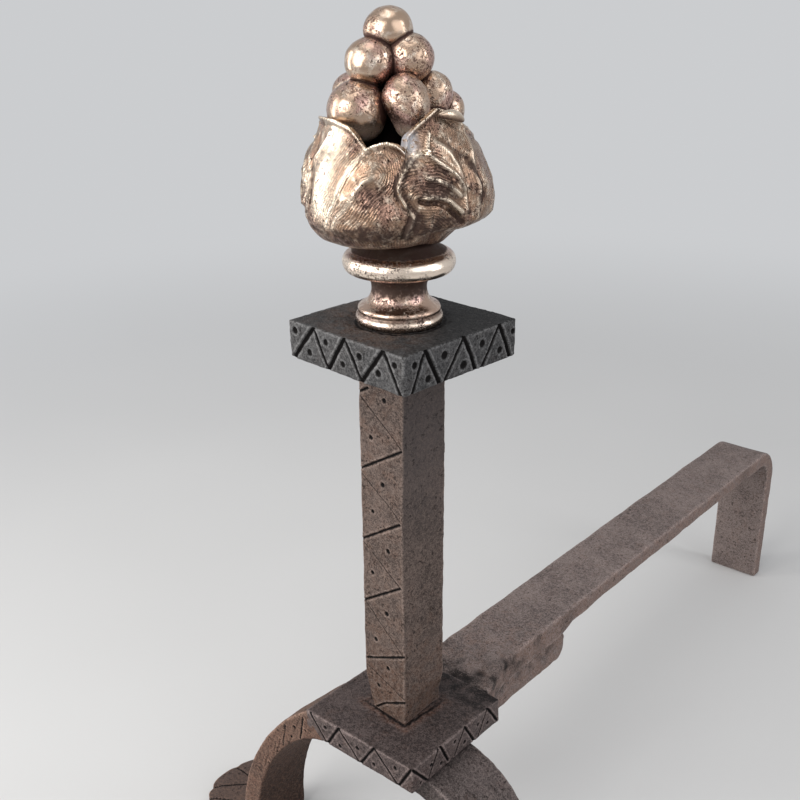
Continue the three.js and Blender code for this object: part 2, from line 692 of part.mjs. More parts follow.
// The berries on a core that stands on the cup's floor, all grown by an allowance.
function berries(allowance) {
  const floor = cupBase + CUP_FLOOR + SEAT_GAP - allowance;
  const bed = BED_RADIUS + allowance;
  const profile = [[0, floor], [bed * 0.88, floor], [bed, FINIAL_HEIGHT * 0.49], [bed * 0.8, FINIAL_HEIGHT * 0.61]];
  profile.push([bed * 0.3, FINIAL_HEIGHT * 0.81], [0, FINIAL_HEIGHT * 0.87]);
  return BERRIES.reduce((cluster, shares) => {
    const [sideways, forward, height, radius] = shares.map((share) => share * FINIAL_HEIGHT);
    const geometry = new THREE.SphereGeometry(radius + allowance, BERRY_SIDES, BERRY_SIDES / 2 + 1);
    geometry.rotateX(Math.PI / 2);
    geometry.translate(sideways, -forward, height);
    return cluster.add(solid(geometry));
  }, turned(profile, BERRY_SIDES));
}

function leafCup() {
  const studPocket = rod(studHole, cupBase - 1, studTip + SEAT_GAP);
  const lobes = LEAF_TIPS.map((tip) => rolledEdge(tip - CURL_SHIFT));
  const inside = CUP_RADIUS * 0.8;
  const floor = cupBase + CUP_FLOOR;
  const hollow = turned([[0, floor], [inside, floor], [inside, FINIAL_HEIGHT], [0, FINIAL_HEIGHT]], CUP_SIDES);
  const leaves = lobes.reduce((joined, lobe) => joined.add(lobe.subtract(hollow)), leafBowl());
  return leaves.subtract(studPocket).subtract(berries(SEAT_GAP));
}

// ---------- assembly ----------
const finial = new THREE.Group();
finial.position.set(STUD_X, STUD_Y, finialSeat);
finial.rotation.z = radians(FINIAL_TURN);
finial.add(piece('finial_neck', finialNeck(), turnedBrass));
finial.add(piece('leaf_cup', leafCup(), castBrass));
finial.add(piece('berry_cluster', berries(0), castBrass));

const pillar = new THREE.Group();
pillar.position.set(POST_X, POST_Y, PLATE_TOP + SEAT_GAP);
pillar.rotation.z = radians(POST_TURN);
pillar.add(piece('post', post(), rustyIron));
pillar.add(piece('cap_plate', capPlate(), darkIron));
pillar.add(piece('finial_stud', finialStud(), brightSteel));
pillar.add(finial);

// The footprint runs from the front of the left foot, or the cap's overhang, to the rear leg.
const footHalf = Math.max(LEG_WIDTH / 2, FAN_RADIUS * Math.sin(radians(FAN_HALF_ANGLE)));
const footFront = leftLegFront + LEG_WIDTH / 2 - footHalf;
const capHalf = CAP_SIDE / 2;
const capCorner = capHalf * (Math.cos(radians(POST_TURN)) + Math.abs(Math.sin(radians(POST_TURN))));
const frontEnd = Math.min(footFront, POST_Y - capCorner);

const andiron = new THREE.Group();
andiron.position.y = -(frontEnd + BAR_REACH) / 2;
andiron.add(piece('base_plate', basePlate(), wornIron));
andiron.add(piece('left_leg', leftLeg(), brownIron));
andiron.add(piece('right_leg', rightLeg(), wornIron));
andiron.add(piece('log_bar', logBar(), wornIron));
andiron.add(piece('back_tongue', backTongue(), wornIron));
andiron.add(pillar);

export default andiron;
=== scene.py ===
# A hand-forged iron fire dog with a brass leaf and berry finial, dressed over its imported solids.
# Lengths here are millimetres in the base plate's own frame: x to the right, y to the back,
# both from the plate's middle, and z up from the floor. They become metres where a piece is set down.

import math

import bmesh
import bpy
import numpy as np
from mathutils import Matrix, Vector


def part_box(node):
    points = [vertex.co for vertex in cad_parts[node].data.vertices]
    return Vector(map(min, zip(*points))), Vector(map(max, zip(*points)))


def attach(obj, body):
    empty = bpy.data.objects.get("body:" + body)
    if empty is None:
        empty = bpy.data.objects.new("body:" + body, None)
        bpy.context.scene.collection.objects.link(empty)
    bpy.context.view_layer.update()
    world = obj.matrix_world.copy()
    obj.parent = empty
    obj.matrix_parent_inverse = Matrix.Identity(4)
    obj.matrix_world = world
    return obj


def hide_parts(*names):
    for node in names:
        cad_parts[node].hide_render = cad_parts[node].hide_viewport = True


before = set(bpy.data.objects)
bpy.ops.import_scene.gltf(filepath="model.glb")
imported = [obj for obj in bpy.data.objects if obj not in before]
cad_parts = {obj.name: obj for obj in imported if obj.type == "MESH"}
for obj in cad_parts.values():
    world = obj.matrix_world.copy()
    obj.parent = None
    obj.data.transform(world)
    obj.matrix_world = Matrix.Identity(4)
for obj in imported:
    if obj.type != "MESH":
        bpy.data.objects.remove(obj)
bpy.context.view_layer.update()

# ---------- sizes ----------
PLATE_LOW, PLATE_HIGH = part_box("base_plate")
MIDDLE = np.array([(PLATE_LOW.x + PLATE_HIGH.x) * 500, (PLATE_LOW.y + PLATE_HIGH.y) * 500, 0])
PLATE_TOP = PLATE_HIGH.z * 1000
PLATE_SIDE = 65
PLATE_THICK = 13
POST_PLACE = np.array([-1, 2, PLATE_TOP + 0.3])
POST_TURN = -4.5
POST_SIDE = 25
POST_HEIGHT = 174.2
CAP_SIDE = 65
CAP_THICK = 16
CAP_BOTTOM = POST_HEIGHT + 0.1
FINIAL_SEAT = CAP_BOTTOM + CAP_THICK + 0.3
FINIAL_TURN = 44.5
STUD_SHIFT = np.array([-0.7, -0.7, 0])
LEG_WIDTH = 33.5
LEG_THICK = 11
LEG_LENGTH = 190  # of the straight bar, before it is bent
LEG_OUT = 84  # outer and inner face of the ankle
LEG_IN = 72.5
LEFT_LEG_MIDDLE = -15.75
RIGHT_LEG_MIDDLE = -4.25
FOOT_ROWS = 30
FOOT_TOP = 89.5  # where the fan begins, above and below
FOOT_SOLE = 79.5
FAN = 33  # degrees to each side
TOE = 124
BAR_X = 0.5
BAR_WIDTH = 35
BAR_THICK = 10
BAR_LENGTH = 460  # before its end is turned down
BAR_TOP = PLATE_TOP + 1
BAR_REACH = 395
BAR_START = 32.8
TONGUE_START = 13
TONGUE_END = 117.5
TONGUE_THICK = 12.9
TONGUE_MIDDLE = 85.25
CUP_BOTTOM = 33.3
CUP_GIRTH = 37  # radius at which distances round the cup are measured
CUP_WIDEST = 38.15
UNCUT = 0.05  # a groove mask weaker than this is no groove


# ---------- mesh helpers ----------
def unit(x):
    return np.clip(x, 0, 1)


def bell(x, width):
    return np.exp(-((x / width) ** 2))


def ease(x, low, high):
    t = unit((x - low) / (high - low))
    return t * t * (3 - 2 * t)


def points_of(piece):
    co = np.empty(len(piece.data.vertices) * 3)
    piece.data.vertices.foreach_get("co", co)
    return co.reshape(-1, 3)


def set_points(piece, co):
    piece.data.vertices.foreach_set("co", np.ascontiguousarray(co).ravel())
    piece.data.update()


def store(piece, **masks):
    """Keeps masks on the piece, one value for each point, for its finish to read."""
    for name, values in masks.items():
        values = np.broadcast_to(values, len(piece.data.vertices))
        layer = piece.data.attributes.new(name, "FLOAT", "POINT")
        layer.data.foreach_set("value", np.ascontiguousarray(values, dtype=np.float32))


def paint(piece, groove=0, wear_and_highlight=0, rust=0, soot_and_shade=0):
    """Keeps the iron masks on the piece: cut grooves painted dark as shade, worn edges with a painted
    highlight, rust, and sooty patches with painted shade.
    """
    masks = {"groove": groove, "wear_and_highlight": wear_and_highlight, "rust": rust, "soot_and_shade": soot_and_shade}
    store(piece, **{name: np.clip(values, -1, 1) for name, values in masks.items()})


def turn_z(co, degrees):
    a = math.radians(degrees)
    spin = np.array([[math.cos(a), -math.sin(a), 0], [math.sin(a), math.cos(a), 0], [0, 0, 1]])
    return co @ spin.T


def grain(co, size, seed):
    """Smooth random relief between -1 and 1, with lumps of about the given size."""
    p = co / size + seed * 13.7
    cell = np.floor(p).astype(np.int64)
    part = p - cell
    part = part * part * (3 - 2 * part)
    total = np.zeros(len(co))
    for dx in (0, 1):
        for dy in (0, 1):
            for dz in (0, 1):
                n = (cell[:, 0] + dx) * 73856093 ^ (cell[:, 1] + dy) * 19349663 ^ (cell[:, 2] + dz) * 83492791
                n = (n + seed * 7919) & 0x7FFFFFFF
                n = ((n ^ (n >> 13)) * 1274126177) & 0x7FFFFFFF
                n = n ^ (n >> 16)
                value = (n & 0xFFFF) / 32767.5 - 1
                weight = np.where(dx, part[:, 0], 1 - part[:, 0])
                weight = weight * np.where(dy, part[:, 1], 1 - part[:, 1])
                weight = weight * np.where(dz, part[:, 2], 1 - part[:, 2])
                total += value * weight
    return total


def mode(name):
    bpy.ops.object.mode_set(mode=name)


def fresh(name, make, **settings):
    """A new piece from a primitive, and the only one selected."""
    bpy.ops.object.select_all(action="DESELECT")
    make(**settings)
    piece = bpy.context.object
    piece.name = name
    return piece


def divide(piece, axis, cuts):
    """In edit mode, cuts the edges that run along an axis."""
    bpy.context.tool_settings.mesh_select_mode = (False, True, False)
    bpy.ops.mesh.select_all(action="DESELECT")
    mesh = bmesh.from_edit_mesh(piece.data)
    for edge in mesh.edges:
        run = edge.verts[1].co - edge.verts[0].co
        edge.select_set(abs(run[axis]) > 0.9 * run.length)
    bmesh.update_edit_mesh(piece.data)
    bpy.ops.mesh.subdivide(number_cuts=cuts)


def gridded_block(name, size, cells, reach=0.8):
    """A block with finely gridded faces, its half sizes, its points and a mask along its edges, where they
    are worn lighter and given a painted highlight.
    """
    piece = fresh(name, bpy.ops.mesh.primitive_cube_add, size=1, scale=size)
    bpy.ops.object.transform_apply(location=False, rotation=False, scale=True)
    mode("EDIT")
    for axis, count in enumerate(cells):
        while count > 1:
            step = next((n for n in range(min(count, 60), 1, -1) if count % n == 0), count)
            divide(piece, axis, step - 1)
            count //= step
    mode("OBJECT")
    half = np.array(size) / 2
    co = points_of(piece)
    away = np.sort(half - np.abs(co), axis=1)[:, 1]
    return piece, half, co, bell(away, reach)


def soften(co, half, radius):
    """Rounds a block's edges, and gives each point's outward direction."""
    radius = np.broadcast_to(np.asarray(radius, float), (len(co),))[:, None]
    core = np.clip(co, -(half - radius), half - radius)
    out = co - core
    out = out / np.maximum(np.linalg.norm(out, axis=1, keepdims=True), 1e-9)
    return core + out * radius, out


def hammer(co, out, seed, dents=0.35, ripple=0.1):
    """The uneven skin that hammering leaves, in mm along the outward direction."""
    slow = grain(co, 17, seed) * 0.6 + grain(co, 8.5, seed + 1) * 0.4
    fine = grain(co, 3.1, seed + 2) * 0.6 + grain(co, 1.5, seed + 3) * 0.4
    return out * (dents * slow + ripple * fine)[:, None]


def chisel(across, up, strokes, dots, seed):
    """Depth in mm and mask of V-cuts and punched dots at places on a flat face."""
    spot = np.stack([across, up, np.zeros_like(across)], 1)
    wander = grain(spot, 2.2, seed) * 0.2 + grain(spot, 0.9, seed + 40) * 0.08
    unsteady = unit(0.75 + 0.5 * ease(wander, -0.15, 0.15))
    depth, lip, mask = np.zeros((3, len(across)))
    for a0, u0, a1, u1, width, deep in strokes:
        run_a, run_u = a1 - a0, u1 - u0
        t = unit(((across - a0) * run_a + (up - u0) * run_u) / (run_a**2 + run_u**2))
        off = np.hypot(across - a0 - t * run_a, up - u0 - t * run_u) + wander
        inward = 1 - off / (width / 2)
        depth = np.maximum(depth, deep * unit(inward) ** 0.8)
        mask = np.maximum(mask, unit(inward * 2.2) * min(1, deep + 0.3) * unsteady)
        lip += 0.14 * deep * bell(off - 0.72 * width, 0.4)
    for a0, u0, size in dots:
        off = np.hypot(across - a0, up - u0) + wander * 0.6
        depth = np.maximum(depth, 0.95 * unit(1 - (off / size) ** 2))
        mask = np.maximum(mask, unit((1 - off / size) * 3.2))
        lip += 0.1 * bell(off - 1.25 * size, 0.35)
    uncut = depth <= 0
    return depth - lip * uncut, mask - unit(lip * 7) * uncut


def engrave(co, out, faces, seed):
    """Cuts chiselled faces. Each face is (outward, across from, up from, strokes, dots)."""
    groove = np.zeros(len(co))
    move = np.zeros_like(co)
    for number, (outward, start, strokes, dots) in enumerate(faces):
        outward = np.array(outward, float)
        sideways = np.cross([0, 0, 1], outward)
        weight = unit((out @ outward - 0.25) / 0.45)
        depth, mask = chisel(co @ sideways - start[0], co[:, 2] - start[1], strokes, dots, seed + number)
        move -= outward * (depth * weight)[:, None]
        groove = np.where(np.abs(mask * weight) > np.abs(groove), mask * weight, groove)
    return co + move, groove


def set_down(piece, co, node, finish, smooth=35):
    """Puts a finished shape in its place in metres and dresses it as the named node's stand-in."""
    set_points(piece, (co + MIDDLE) * 0.001)
    bpy.ops.object.select_all(action="DESELECT")
    piece.select_set(True)
    bpy.context.view_layer.objects.active = piece
    mode("EDIT")
    bpy.ops.mesh.select_all(action="SELECT")
    bpy.ops.mesh.normals_make_consistent(inside=False)
    mode("OBJECT")
    bpy.ops.object.shade_smooth_by_angle(angle=math.radians(smooth))
    piece.data.materials.clear()
    piece.data.materials.append(finish)
    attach(piece, "root")
    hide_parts(node)


def in_pillar(co):
    """From the post's own frame, z = 0 at its shoulder, to the plate's."""
    return turn_z(co, POST_TURN) + POST_PLACE


def in_finial(co):
    """From the finial's own frame, its face towards -y and z = 0 at its seat, to the plate's."""
    return in_pillar(turn_z(co, FINIAL_TURN) + STUD_SHIFT + np.array([0, 0, FINIAL_SEAT]))


def bezier(p0, p1, p2, p3, count):
    t = np.linspace(0, 1, count)[:, None]
    p0, p1, p2, p3 = (np.array(p, float) for p in (p0, p1, p2, p3))
    return (1 - t) ** 3 * p0 + 3 * (1 - t) ** 2 * t * p1 + 3 * (1 - t) * t**2 * p2 + t**3 * p3


def line(p, q, count):
    return np.stack([np.linspace(p[0], q[0], count), np.linspace(p[1], q[1], count)], 1)


def quarter(middle_x, middle_z, radius, count):
    """A quarter turn from straight up to straight ahead."""
    a = np.radians(np.linspace(90, 0, count))
    return np.stack([middle_x + radius * np.cos(a), middle_z + radius * np.sin(a)], 1)


def along(path, t):
    """Points on a polyline at shares t of its rows, for matching an outer and an inner line."""
    rows = np.linspace(0, 1, len(path))
    return np.stack([np.interp(t, rows, path[:, k]) for k in range(2)], 1)


# ---------- shader helpers ----------
class Value:
    """A shader socket whose arithmetic adds Math nodes."""

    def __init__(self, nodes, socket):
        self.nodes = nodes
        self.socket = socket

    def maths(self, operation, *inputs):
        return self.nodes.node("ShaderNodeMath", {"operation": operation}, dict(enumerate(inputs)))

    def __add__(self, other):
        return self.maths("ADD", self, other)

    def __sub__(self, other):
        return self.maths("SUBTRACT", self, other)

    def __rsub__(self, other):
        return self.maths("SUBTRACT", other, self)

    def __mul__(self, other):
        return self.maths("MULTIPLY", self, other)

    __radd__ = __add__
    __rmul__ = __mul__

    def top(self, other):
        return self.maths("MAXIMUM", self, other)

    def low(self, other):
        return self.maths("MINIMUM", self, other)

    def below_zero(self):
        return (self * -1).top(0)

    def sine(self):
        return self.maths("SINE", self)

    def ease(self, low, high):
        """0 below low, 1 above high, smooth between."""
        settings = {"interpolation_type": "SMOOTHSTEP", "clamp": True}
        return self.nodes.node("ShaderNodeMapRange", settings, {0: self, 1: low, 2: high, 3: 0, 4: 1})


class Nodes:
    """A tree of shader nodes."""

    def __init__(self, tree):
        self.tree = tree

    def node(self, kind, settings, inputs, output=0):
        made = self.tree.nodes.new(kind)
        for name, value in settings.items():
            setattr(made, name, value)
        for name, value in inputs.items():
            self.feed(made.inputs[name], value)
        return Value(self, made.outputs[output])

    def feed(self, socket, value):
        if isinstance(value, Value):
            self.tree.links.new(value.socket, socket)
        elif isinstance(value, tuple) and len(value) == 3 and socket.type == "RGBA":
            socket.default_value = (*value, 1)
        else:
            socket.default_value = value

    def seen(self):
        """1 for rays from the camera, and for those that its reflections and clear things pass on."""
        kinds = ("Is Camera Ray", "Is Glossy Ray", "Is Transmission Ray")
        direct, glossy, clear = (self.node("ShaderNodeLightPath", {}, {}, kind) for kind in kinds)
        return direct.top(glossy).top(clear)


class Finish(Nodes):
    """A surface finish and the nodes that make it."""

    def __init__(self, name):
        self.material = bpy.data.materials.new(name)
        self.material.use_nodes = True
        super().__init__(self.material.node_tree)
        self.shader = self.tree.nodes["Principled BSDF"]
        self.place = self.node("ShaderNodeTexCoord", {}, {}, "Object")

    def noise(self, size, detail=3, rough=0.55, warp=0, place=None):
        """Noise with lumps of about the given size in mm."""
        inputs = {"Vector": place or self.place, "Scale": 1000 / size, "Detail": detail}
        inputs.update({"Roughness": rough, "Distortion": warp})
        return self.node("ShaderNodeTexNoise", {}, inputs)

    def mapped(self, **inputs):
        return self.node("ShaderNodeMapping", {}, {"Vector": self.place, **inputs})

    def painted(self, name):
        return self.node("ShaderNodeAttribute", {"attribute_name": name}, {}, "Fac")

    def mix(self, share, a, b):
        return self.node("ShaderNodeMix", {"data_type": "RGBA"}, {0: share, 6: a, 7: b}, 2)

    def bump(self, height, depth):
        return self.node("ShaderNodeBump", {}, {"Height": height, "Distance": depth, "Strength": 1})

    def dress(self, colour, rough, normal, metallic, specular=0.5):
        given = {"Base Color": colour, "Roughness": rough, "Normal": normal, "Metallic": metallic}
        for name, value in given.items():
            self.feed(self.shader.inputs[name], value)
        self.shader.inputs["Specular IOR Level"].default_value = specular
        return self.material


def tinted(colour, share):
    return tuple(min(1, c * share) for c in colour)


def forged_iron(name, dark, body, light, rusty, rust_share, grit, seed):
    """Old forged iron: scaly, pitted, browned in patches, worn lighter on its edges with a painted highlight,
    and painted shade.
    """
    f = Finish(name)
    moved = f.mapped(Location=(seed, seed * 0.7, seed * 0.3))
    patches = f.noise(21, 4, 0.6, 0.6, moved)
    blotches = f.noise(6.5, 4, 0.62, 0.3, moved)
    scale = f.noise(1.7, 4, 0.68, 0, moved)
    speck = f.noise(0.62, 3, 0.6, 0, moved)
    crumbs = f.noise(1.05, 3, 0.62, 0.3, moved)
    groove, wear_and_highlight, rust, soot_and_shade = (f.painted(mask) for mask in ("groove", "wear_and_highlight", "rust", "soot_and_shade"))
    cut, lip = groove.top(0), groove.below_zero()
    smooth = rust.below_zero()
    rough_share = 1 - smooth * 0.75
    pits = (1 - f.noise(2.1, 3, 0.7, 0.4, moved).ease(0.34, 0.43)) * blotches.ease(0.38, 0.6)
    grains = (scale * 0.5 + speck * 0.5).ease(0.42, 0.6)
    colour = f.mix(patches.ease(0.36, 0.64), dark, body)
    browned = (blotches + rust * 0.35).ease(0.45, 0.78) * (rust_share + rust).top(0)
    colour = f.mix(browned.low(1), colour, rusty)
    colour = f.mix(smooth * 0.9, colour, (0.068, 0.056, 0.055))
    colour = f.mix(grains * rough_share * 0.6, colour, light)
    crumbly = 1 - (crumbs * 0.55 + speck * 0.45).ease(0.38, 0.5)
    colour = f.mix(crumbly * rough_share * 0.7, colour, tinted(dark, 0.45))
    colour = f.mix(pits * 0.75, colour, tinted(dark, 0.28))
    # the lips of the cuts and the edges are lightened: worn metal, and a painted highlight along them
    rubbed_and_highlit = ((wear_and_highlight + lip) * blotches.ease(0.25, 0.5) * (0.4 + grains)).low(1)
    colour = f.mix(rubbed_and_highlit * 0.75, colour, tinted(light, 1.5))
    # darkened by the mask of sooty patches and painted shade
    colour = f.mix((soot_and_shade * (1.2 - grains * 0.6)).low(1), colour, tinted(dark, 0.22))
    # the cuts, creases and crevices are painted near black, as shade in them
    colour = f.mix(cut.ease(0.1, 0.6), colour, (0.004, 0.003, 0.003))
    height = (scale * 0.6 + speck * 0.5) * rough_share + blotches * 0.7 - pits * 0.9
    height = height + rust.top(0) * scale * 1.5
    rough = 0.5 + scale * 0.3 + cut * 0.2 - rubbed_and_highlit * 0.1
    return f.dress(colour, rough, f.bump(height, 0.00042 * grit), 0.1, 0.2)


def old_brass(name, bright, body, copper, shadow, stripe, stain, pinkness):
    """Antiqued brass: worn bright where it stands out, with painted highlights, brown in its hollows with
    painted shade, pitted and speckled.
    """
    f = Finish(name)
    patches = f.noise(12, 3, 0.55, 0.5)
    blotches = f.noise(4.6, 4, 0.65, 0.5)
    dust = f.noise(1.7, 5, 0.72, 0.2)
    speck = f.noise(0.7, 3, 0.7)
    hollow, raised, marked = (f.painted(mask) for mask in ("hollow", "raised", "stain"))
    pits = (1 - f.noise(1.3, 2, 0.6).ease(0.31, 0.37)) * patches.ease(0.38, 0.55)
    grime_and_shade = (hollow * 1.15 + (dust - 0.5) * 1.5 * (0.25 + hollow)).ease(0.12, 0.85)
    spots = (dust * 0.55 + speck * 0.45 + marked * 0.022).ease(0.5, 0.58)
    spots = spots * (patches * 0.6 + blotches * 0.4 + marked * 0.12).ease(0.45, 0.58)
    height = dust * 0.26 + speck * 0.16 - pits * 1.2 - spots * 0.35
    if stripe:
        drawn = f.painted("drawn")
        waver = f.noise(3.4, 3, 0.6)
        lines = (f.painted("flow") * stripe + waver * 9 + dust * 4).sine() * 0.5 + 0.5
        cut = (1 - lines.ease(0.1, 0.6)) * drawn * dust.ease(0.3, 0.55)
        grime_and_shade = (grime_and_shade + cut * (0.4 + hollow * 0.5)).low(1)
        height = height + lines * drawn * 1.4
    colour = f.mix(blotches.ease(0.46, 0.76), body, bright)
    colour = f.mix(patches.ease(0.46, 0.66) * (0.4 + speck) * pinkness, colour, copper)
    # ridges, rims and beads turn bright: worn metal, and painted highlights such as the cup's band
    colour = f.mix((raised * (0.5 + dust)).low(1), colour, bright)
    # the shadow colour: patina and stains, and painted shade in gaps and low places
    colour = f.mix((grime_and_shade + spots * stain).low(1) * 0.94, colour, shadow)
    colour = f.mix(pits, colour, tinted(shadow, 0.3))
    # the berries' bed is painted near black, as shade deep in the cup
    colour = f.mix(hollow.ease(1.5, 2.5), colour, (0.004, 0.003, 0.003))
    rough = 0.17 + dust * 0.12 + grime_and_shade * 0.36 + spots * 0.15 - raised * 0.03
    metal = 1 - grime_and_shade * 0.35 * (2 - hollow).top(0).low(1) - raised.below_zero() * 0.7
    if stripe:
        residue = f.painted("residue") * dust.ease(0.36, 0.52)
        colour = f.mix(residue * 0.9, colour, (0.66, 0.67, 0.72))
        rough = rough + residue * 0.4
        metal = metal * (1 - residue)
    return f.dress(colour, rough, f.bump(height, 0.00017), metal)


# ---------- finishes ----------
# each iron: dark, body, light and rusty colours, its share of rust, its grit and its noise's shift
IRON_POST, IRON_CAP, IRON_PLATE, IRON_LEFT, IRON_RIGHT, IRON_BAR = (forged_iron(*row) for row in (
    ("iron_post", (0.048, 0.033, 0.028), (0.096, 0.068, 0.058), (0.205, 0.155, 0.132),
     (0.118, 0.066, 0.046), 0.4, 1, 0.01),
    ("iron_cap", (0.03, 0.029, 0.03), (0.056, 0.054, 0.055), (0.145, 0.142, 0.142),
     (0.1, 0.06, 0.043), 0.15, 1, 0.05),
    ("iron_plate", (0.04, 0.029, 0.028), (0.078, 0.058, 0.055), (0.17, 0.132, 0.123),
     (0.115, 0.062, 0.046), 0.4, 0.8, 0.09),
    ("iron_left_leg", (0.056, 0.031, 0.023), (0.115, 0.066, 0.047), (0.225, 0.142, 0.106),
     (0.12, 0.06, 0.042), 0.5, 1, 0.13),
    ("iron_right_leg", (0.048, 0.037, 0.035), (0.1, 0.077, 0.073), (0.2, 0.162, 0.152),
     (0.11, 0.066, 0.052), 0.3, 1.2, 0.17),
    ("iron_bar", (0.105, 0.081, 0.075), (0.185, 0.145, 0.133), (0.3, 0.242, 0.225),
     (0.19, 0.12, 0.095), 0.4, 0.6, 0.21),
))
# each brass: bright, body, copper and shadow colours, its hatching, its spots and its pinkness
BRASS_TURNED, BRASS_LEAF, BRASS_BERRY = (old_brass(*row) for row in (
    ("brass_turned", (0.87, 0.74, 0.62), (0.5, 0.35, 0.27), (0.52, 0.34, 0.31),
     (0.04, 0.02, 0.015), 0, 0.85, 0.9),
    ("brass_leaf", (0.79, 0.665, 0.53), (0.31, 0.2, 0.136), (0.32, 0.185, 0.15),
     (0.042, 0.021, 0.016), 6.2, 0.9, 0.7),
    ("brass_berry", (0.88, 0.77, 0.65), (0.5, 0.36, 0.265), (0.52, 0.32, 0.28),
     (0.06, 0.023, 0.019), 0, 0.85, 0.9),
))


# ---------- base plate ----------
def plate_marks():
    """Strokes (across, up, across, up, width, depth) and dots (across, up, size) from the lower left."""
    bold, fine = (1.55, 1.05), (1.25, 0.6)
    front = [(2.6, 13.2, 12.9, 0.2, *fine)]
    front += [(valley, 0, peak, 13, *bold) for valley, peak in ((13.1, 20.9), (34.1, 42.4), (57, 64.3))]
    front += [(peak, 13, valley, 0, *fine) for peak, valley in ((20.9, 34.1), (42.4, 57))]
    front_dots = [
        (12.2, 9, 1.1), (21.5, 3.3, 1.1), (32.5, 7.7, 1.1), (42.4, 3.9, 1.1), (54.9, 8.7, 1.1),
        (4.3, 4.9, 0.8)]
    right = [
        (0.3, 13, 11.9, -1, *bold), (20.1, 13, 25.7, 1.9, *bold), (38, 13, 45.5, 0.2, *bold),
        (55.5, 13, 63.5, 1.2, *bold)]
    right += [(18.3, 13, 11.3, 0, *fine), (38, 13, 30.7, 1.5, *fine), (55.5, 13, 48.4, 1.1, *fine)]
    right_dots = [
        (6, 2.2, 0.9), (13.4, 7.3, 1), (20.6, 3.6, 1.1), (30.6, 9.2, 1.1), (38, 4.2, 1.1), (48.4, 8, 1),
        (55.8, 4.4, 1)]
    return front, front_dots, right, right_dots


def build_base_plate():
    size = (PLATE_SIDE, PLATE_SIDE, PLATE_THICK)
    piece, half, co, worn = gridded_block("forged_plate", size, (144, 144, 30))
    co, out = soften(co, half, 0.75 + 0.3 * grain(co, 5, 3))
    x, y, z = co.T
    front, front_dots, right, right_dots = plate_marks()
    start = (-half[0], -half[2])
    faces = [((0, -1, 0), start, front, front_dots), ((1, 0, 0), start, right, right_dots)]
    cut, groove = engrave(co, out, faces, 11)
    cut += hammer(co, out, 21, 0.4, 0.14)
    # rust has crept out from under the post's foot, thickest along its right side
    foot = turn_z(co - POST_PLACE * [1, 1, 0], -POST_TURN)
    gap = np.abs(foot[:, :2]).max(axis=1) - POST_SIDE / 2
    top = unit(out[:, 2])
    side = 0.6 + 0.4 * ease(foot[:, 0] - foot[:, 1], -4, 14)
    crust = bell(gap - 0.8, 3.3) * side * top
    cut[:, 2] += crust * (0.55 * grain(co, 1.6, 24) + 0.4 * grain(co, 0.9, 25) - 0.2)
    # painted shade: a dark line in the seam at the post's foot, the underside, and the top darker towards the
    # right; the back right is sunk and darker
    seam = bell(gap - 0.3, 0.8) * top * side
    back = ease(y, 12, 30) * ease(x, -18, 6) * top
    cut[:, 2] -= back * (0.35 + 0.5 * grain(co, 3.4, 26))
    shade_and_crust = back * (0.6 + 0.6 * grain(co, 5, 27)) + 0.8 * seam + 0.5 * crust * unit(grain(co, 1.8, 28))
    shade_and_crust += top * (0.12 + 0.3 * ease(x, -8, 18)) * (1 - crust) + 0.5 * ease(-z, 5.2, 6.5)
    cut = np.clip(cut, -half - 0.2, half + np.array([0.2, 0.2, 0.1]))
    paint(piece, np.where(np.abs(groove) < UNCUT, seam * 0.5, groove), worn * (z > 0), crust, shade_and_crust)
    cut[:, 2] += PLATE_TOP - half[2]
    set_down(piece, cut, "base_plate", IRON_PLATE)


# ---------- post ----------
def post_marks():
    bold, fine = (1.35, 1), (0.85, 0.22)
    strokes = [(*ends, *fine) for ends in (
        (0, 157.6, 24.3, 139.1), (0, 121.2, 23.4, 105.6), (0, 87.4, 23.7, 72.6),
        (0.7, 56.7, 24, 37.8), (1.3, 21.5, 25.4, 13.6))]
    strokes += [(*ends, *bold) for ends in (
        (24.3, 138.2, 0, 122.9), (23.4, 103.7, 0, 88.2), (23.7, 72.4, 0.7, 56.7),
        (24.8, 36.8, 1.4, 25.4), (25.4, 12.2, 3.1, 0.2), (0, 158.6, 5.1, 161.5))]
    dots = [(14.5, 158.4, 1.3), (6.7, 139.5, 1.2), (13.1, 119.2, 1.3), (6.8, 104.2, 1.1), (16.1, 88, 1.3)]
    dots += [(5.9, 73.2, 1.2), (14.4, 55.1, 1.3), (7.5, 38.6, 1.2), (14.8, 25.9, 1.2), (7.8, 13.3, 1.2)]
    return strokes, dots


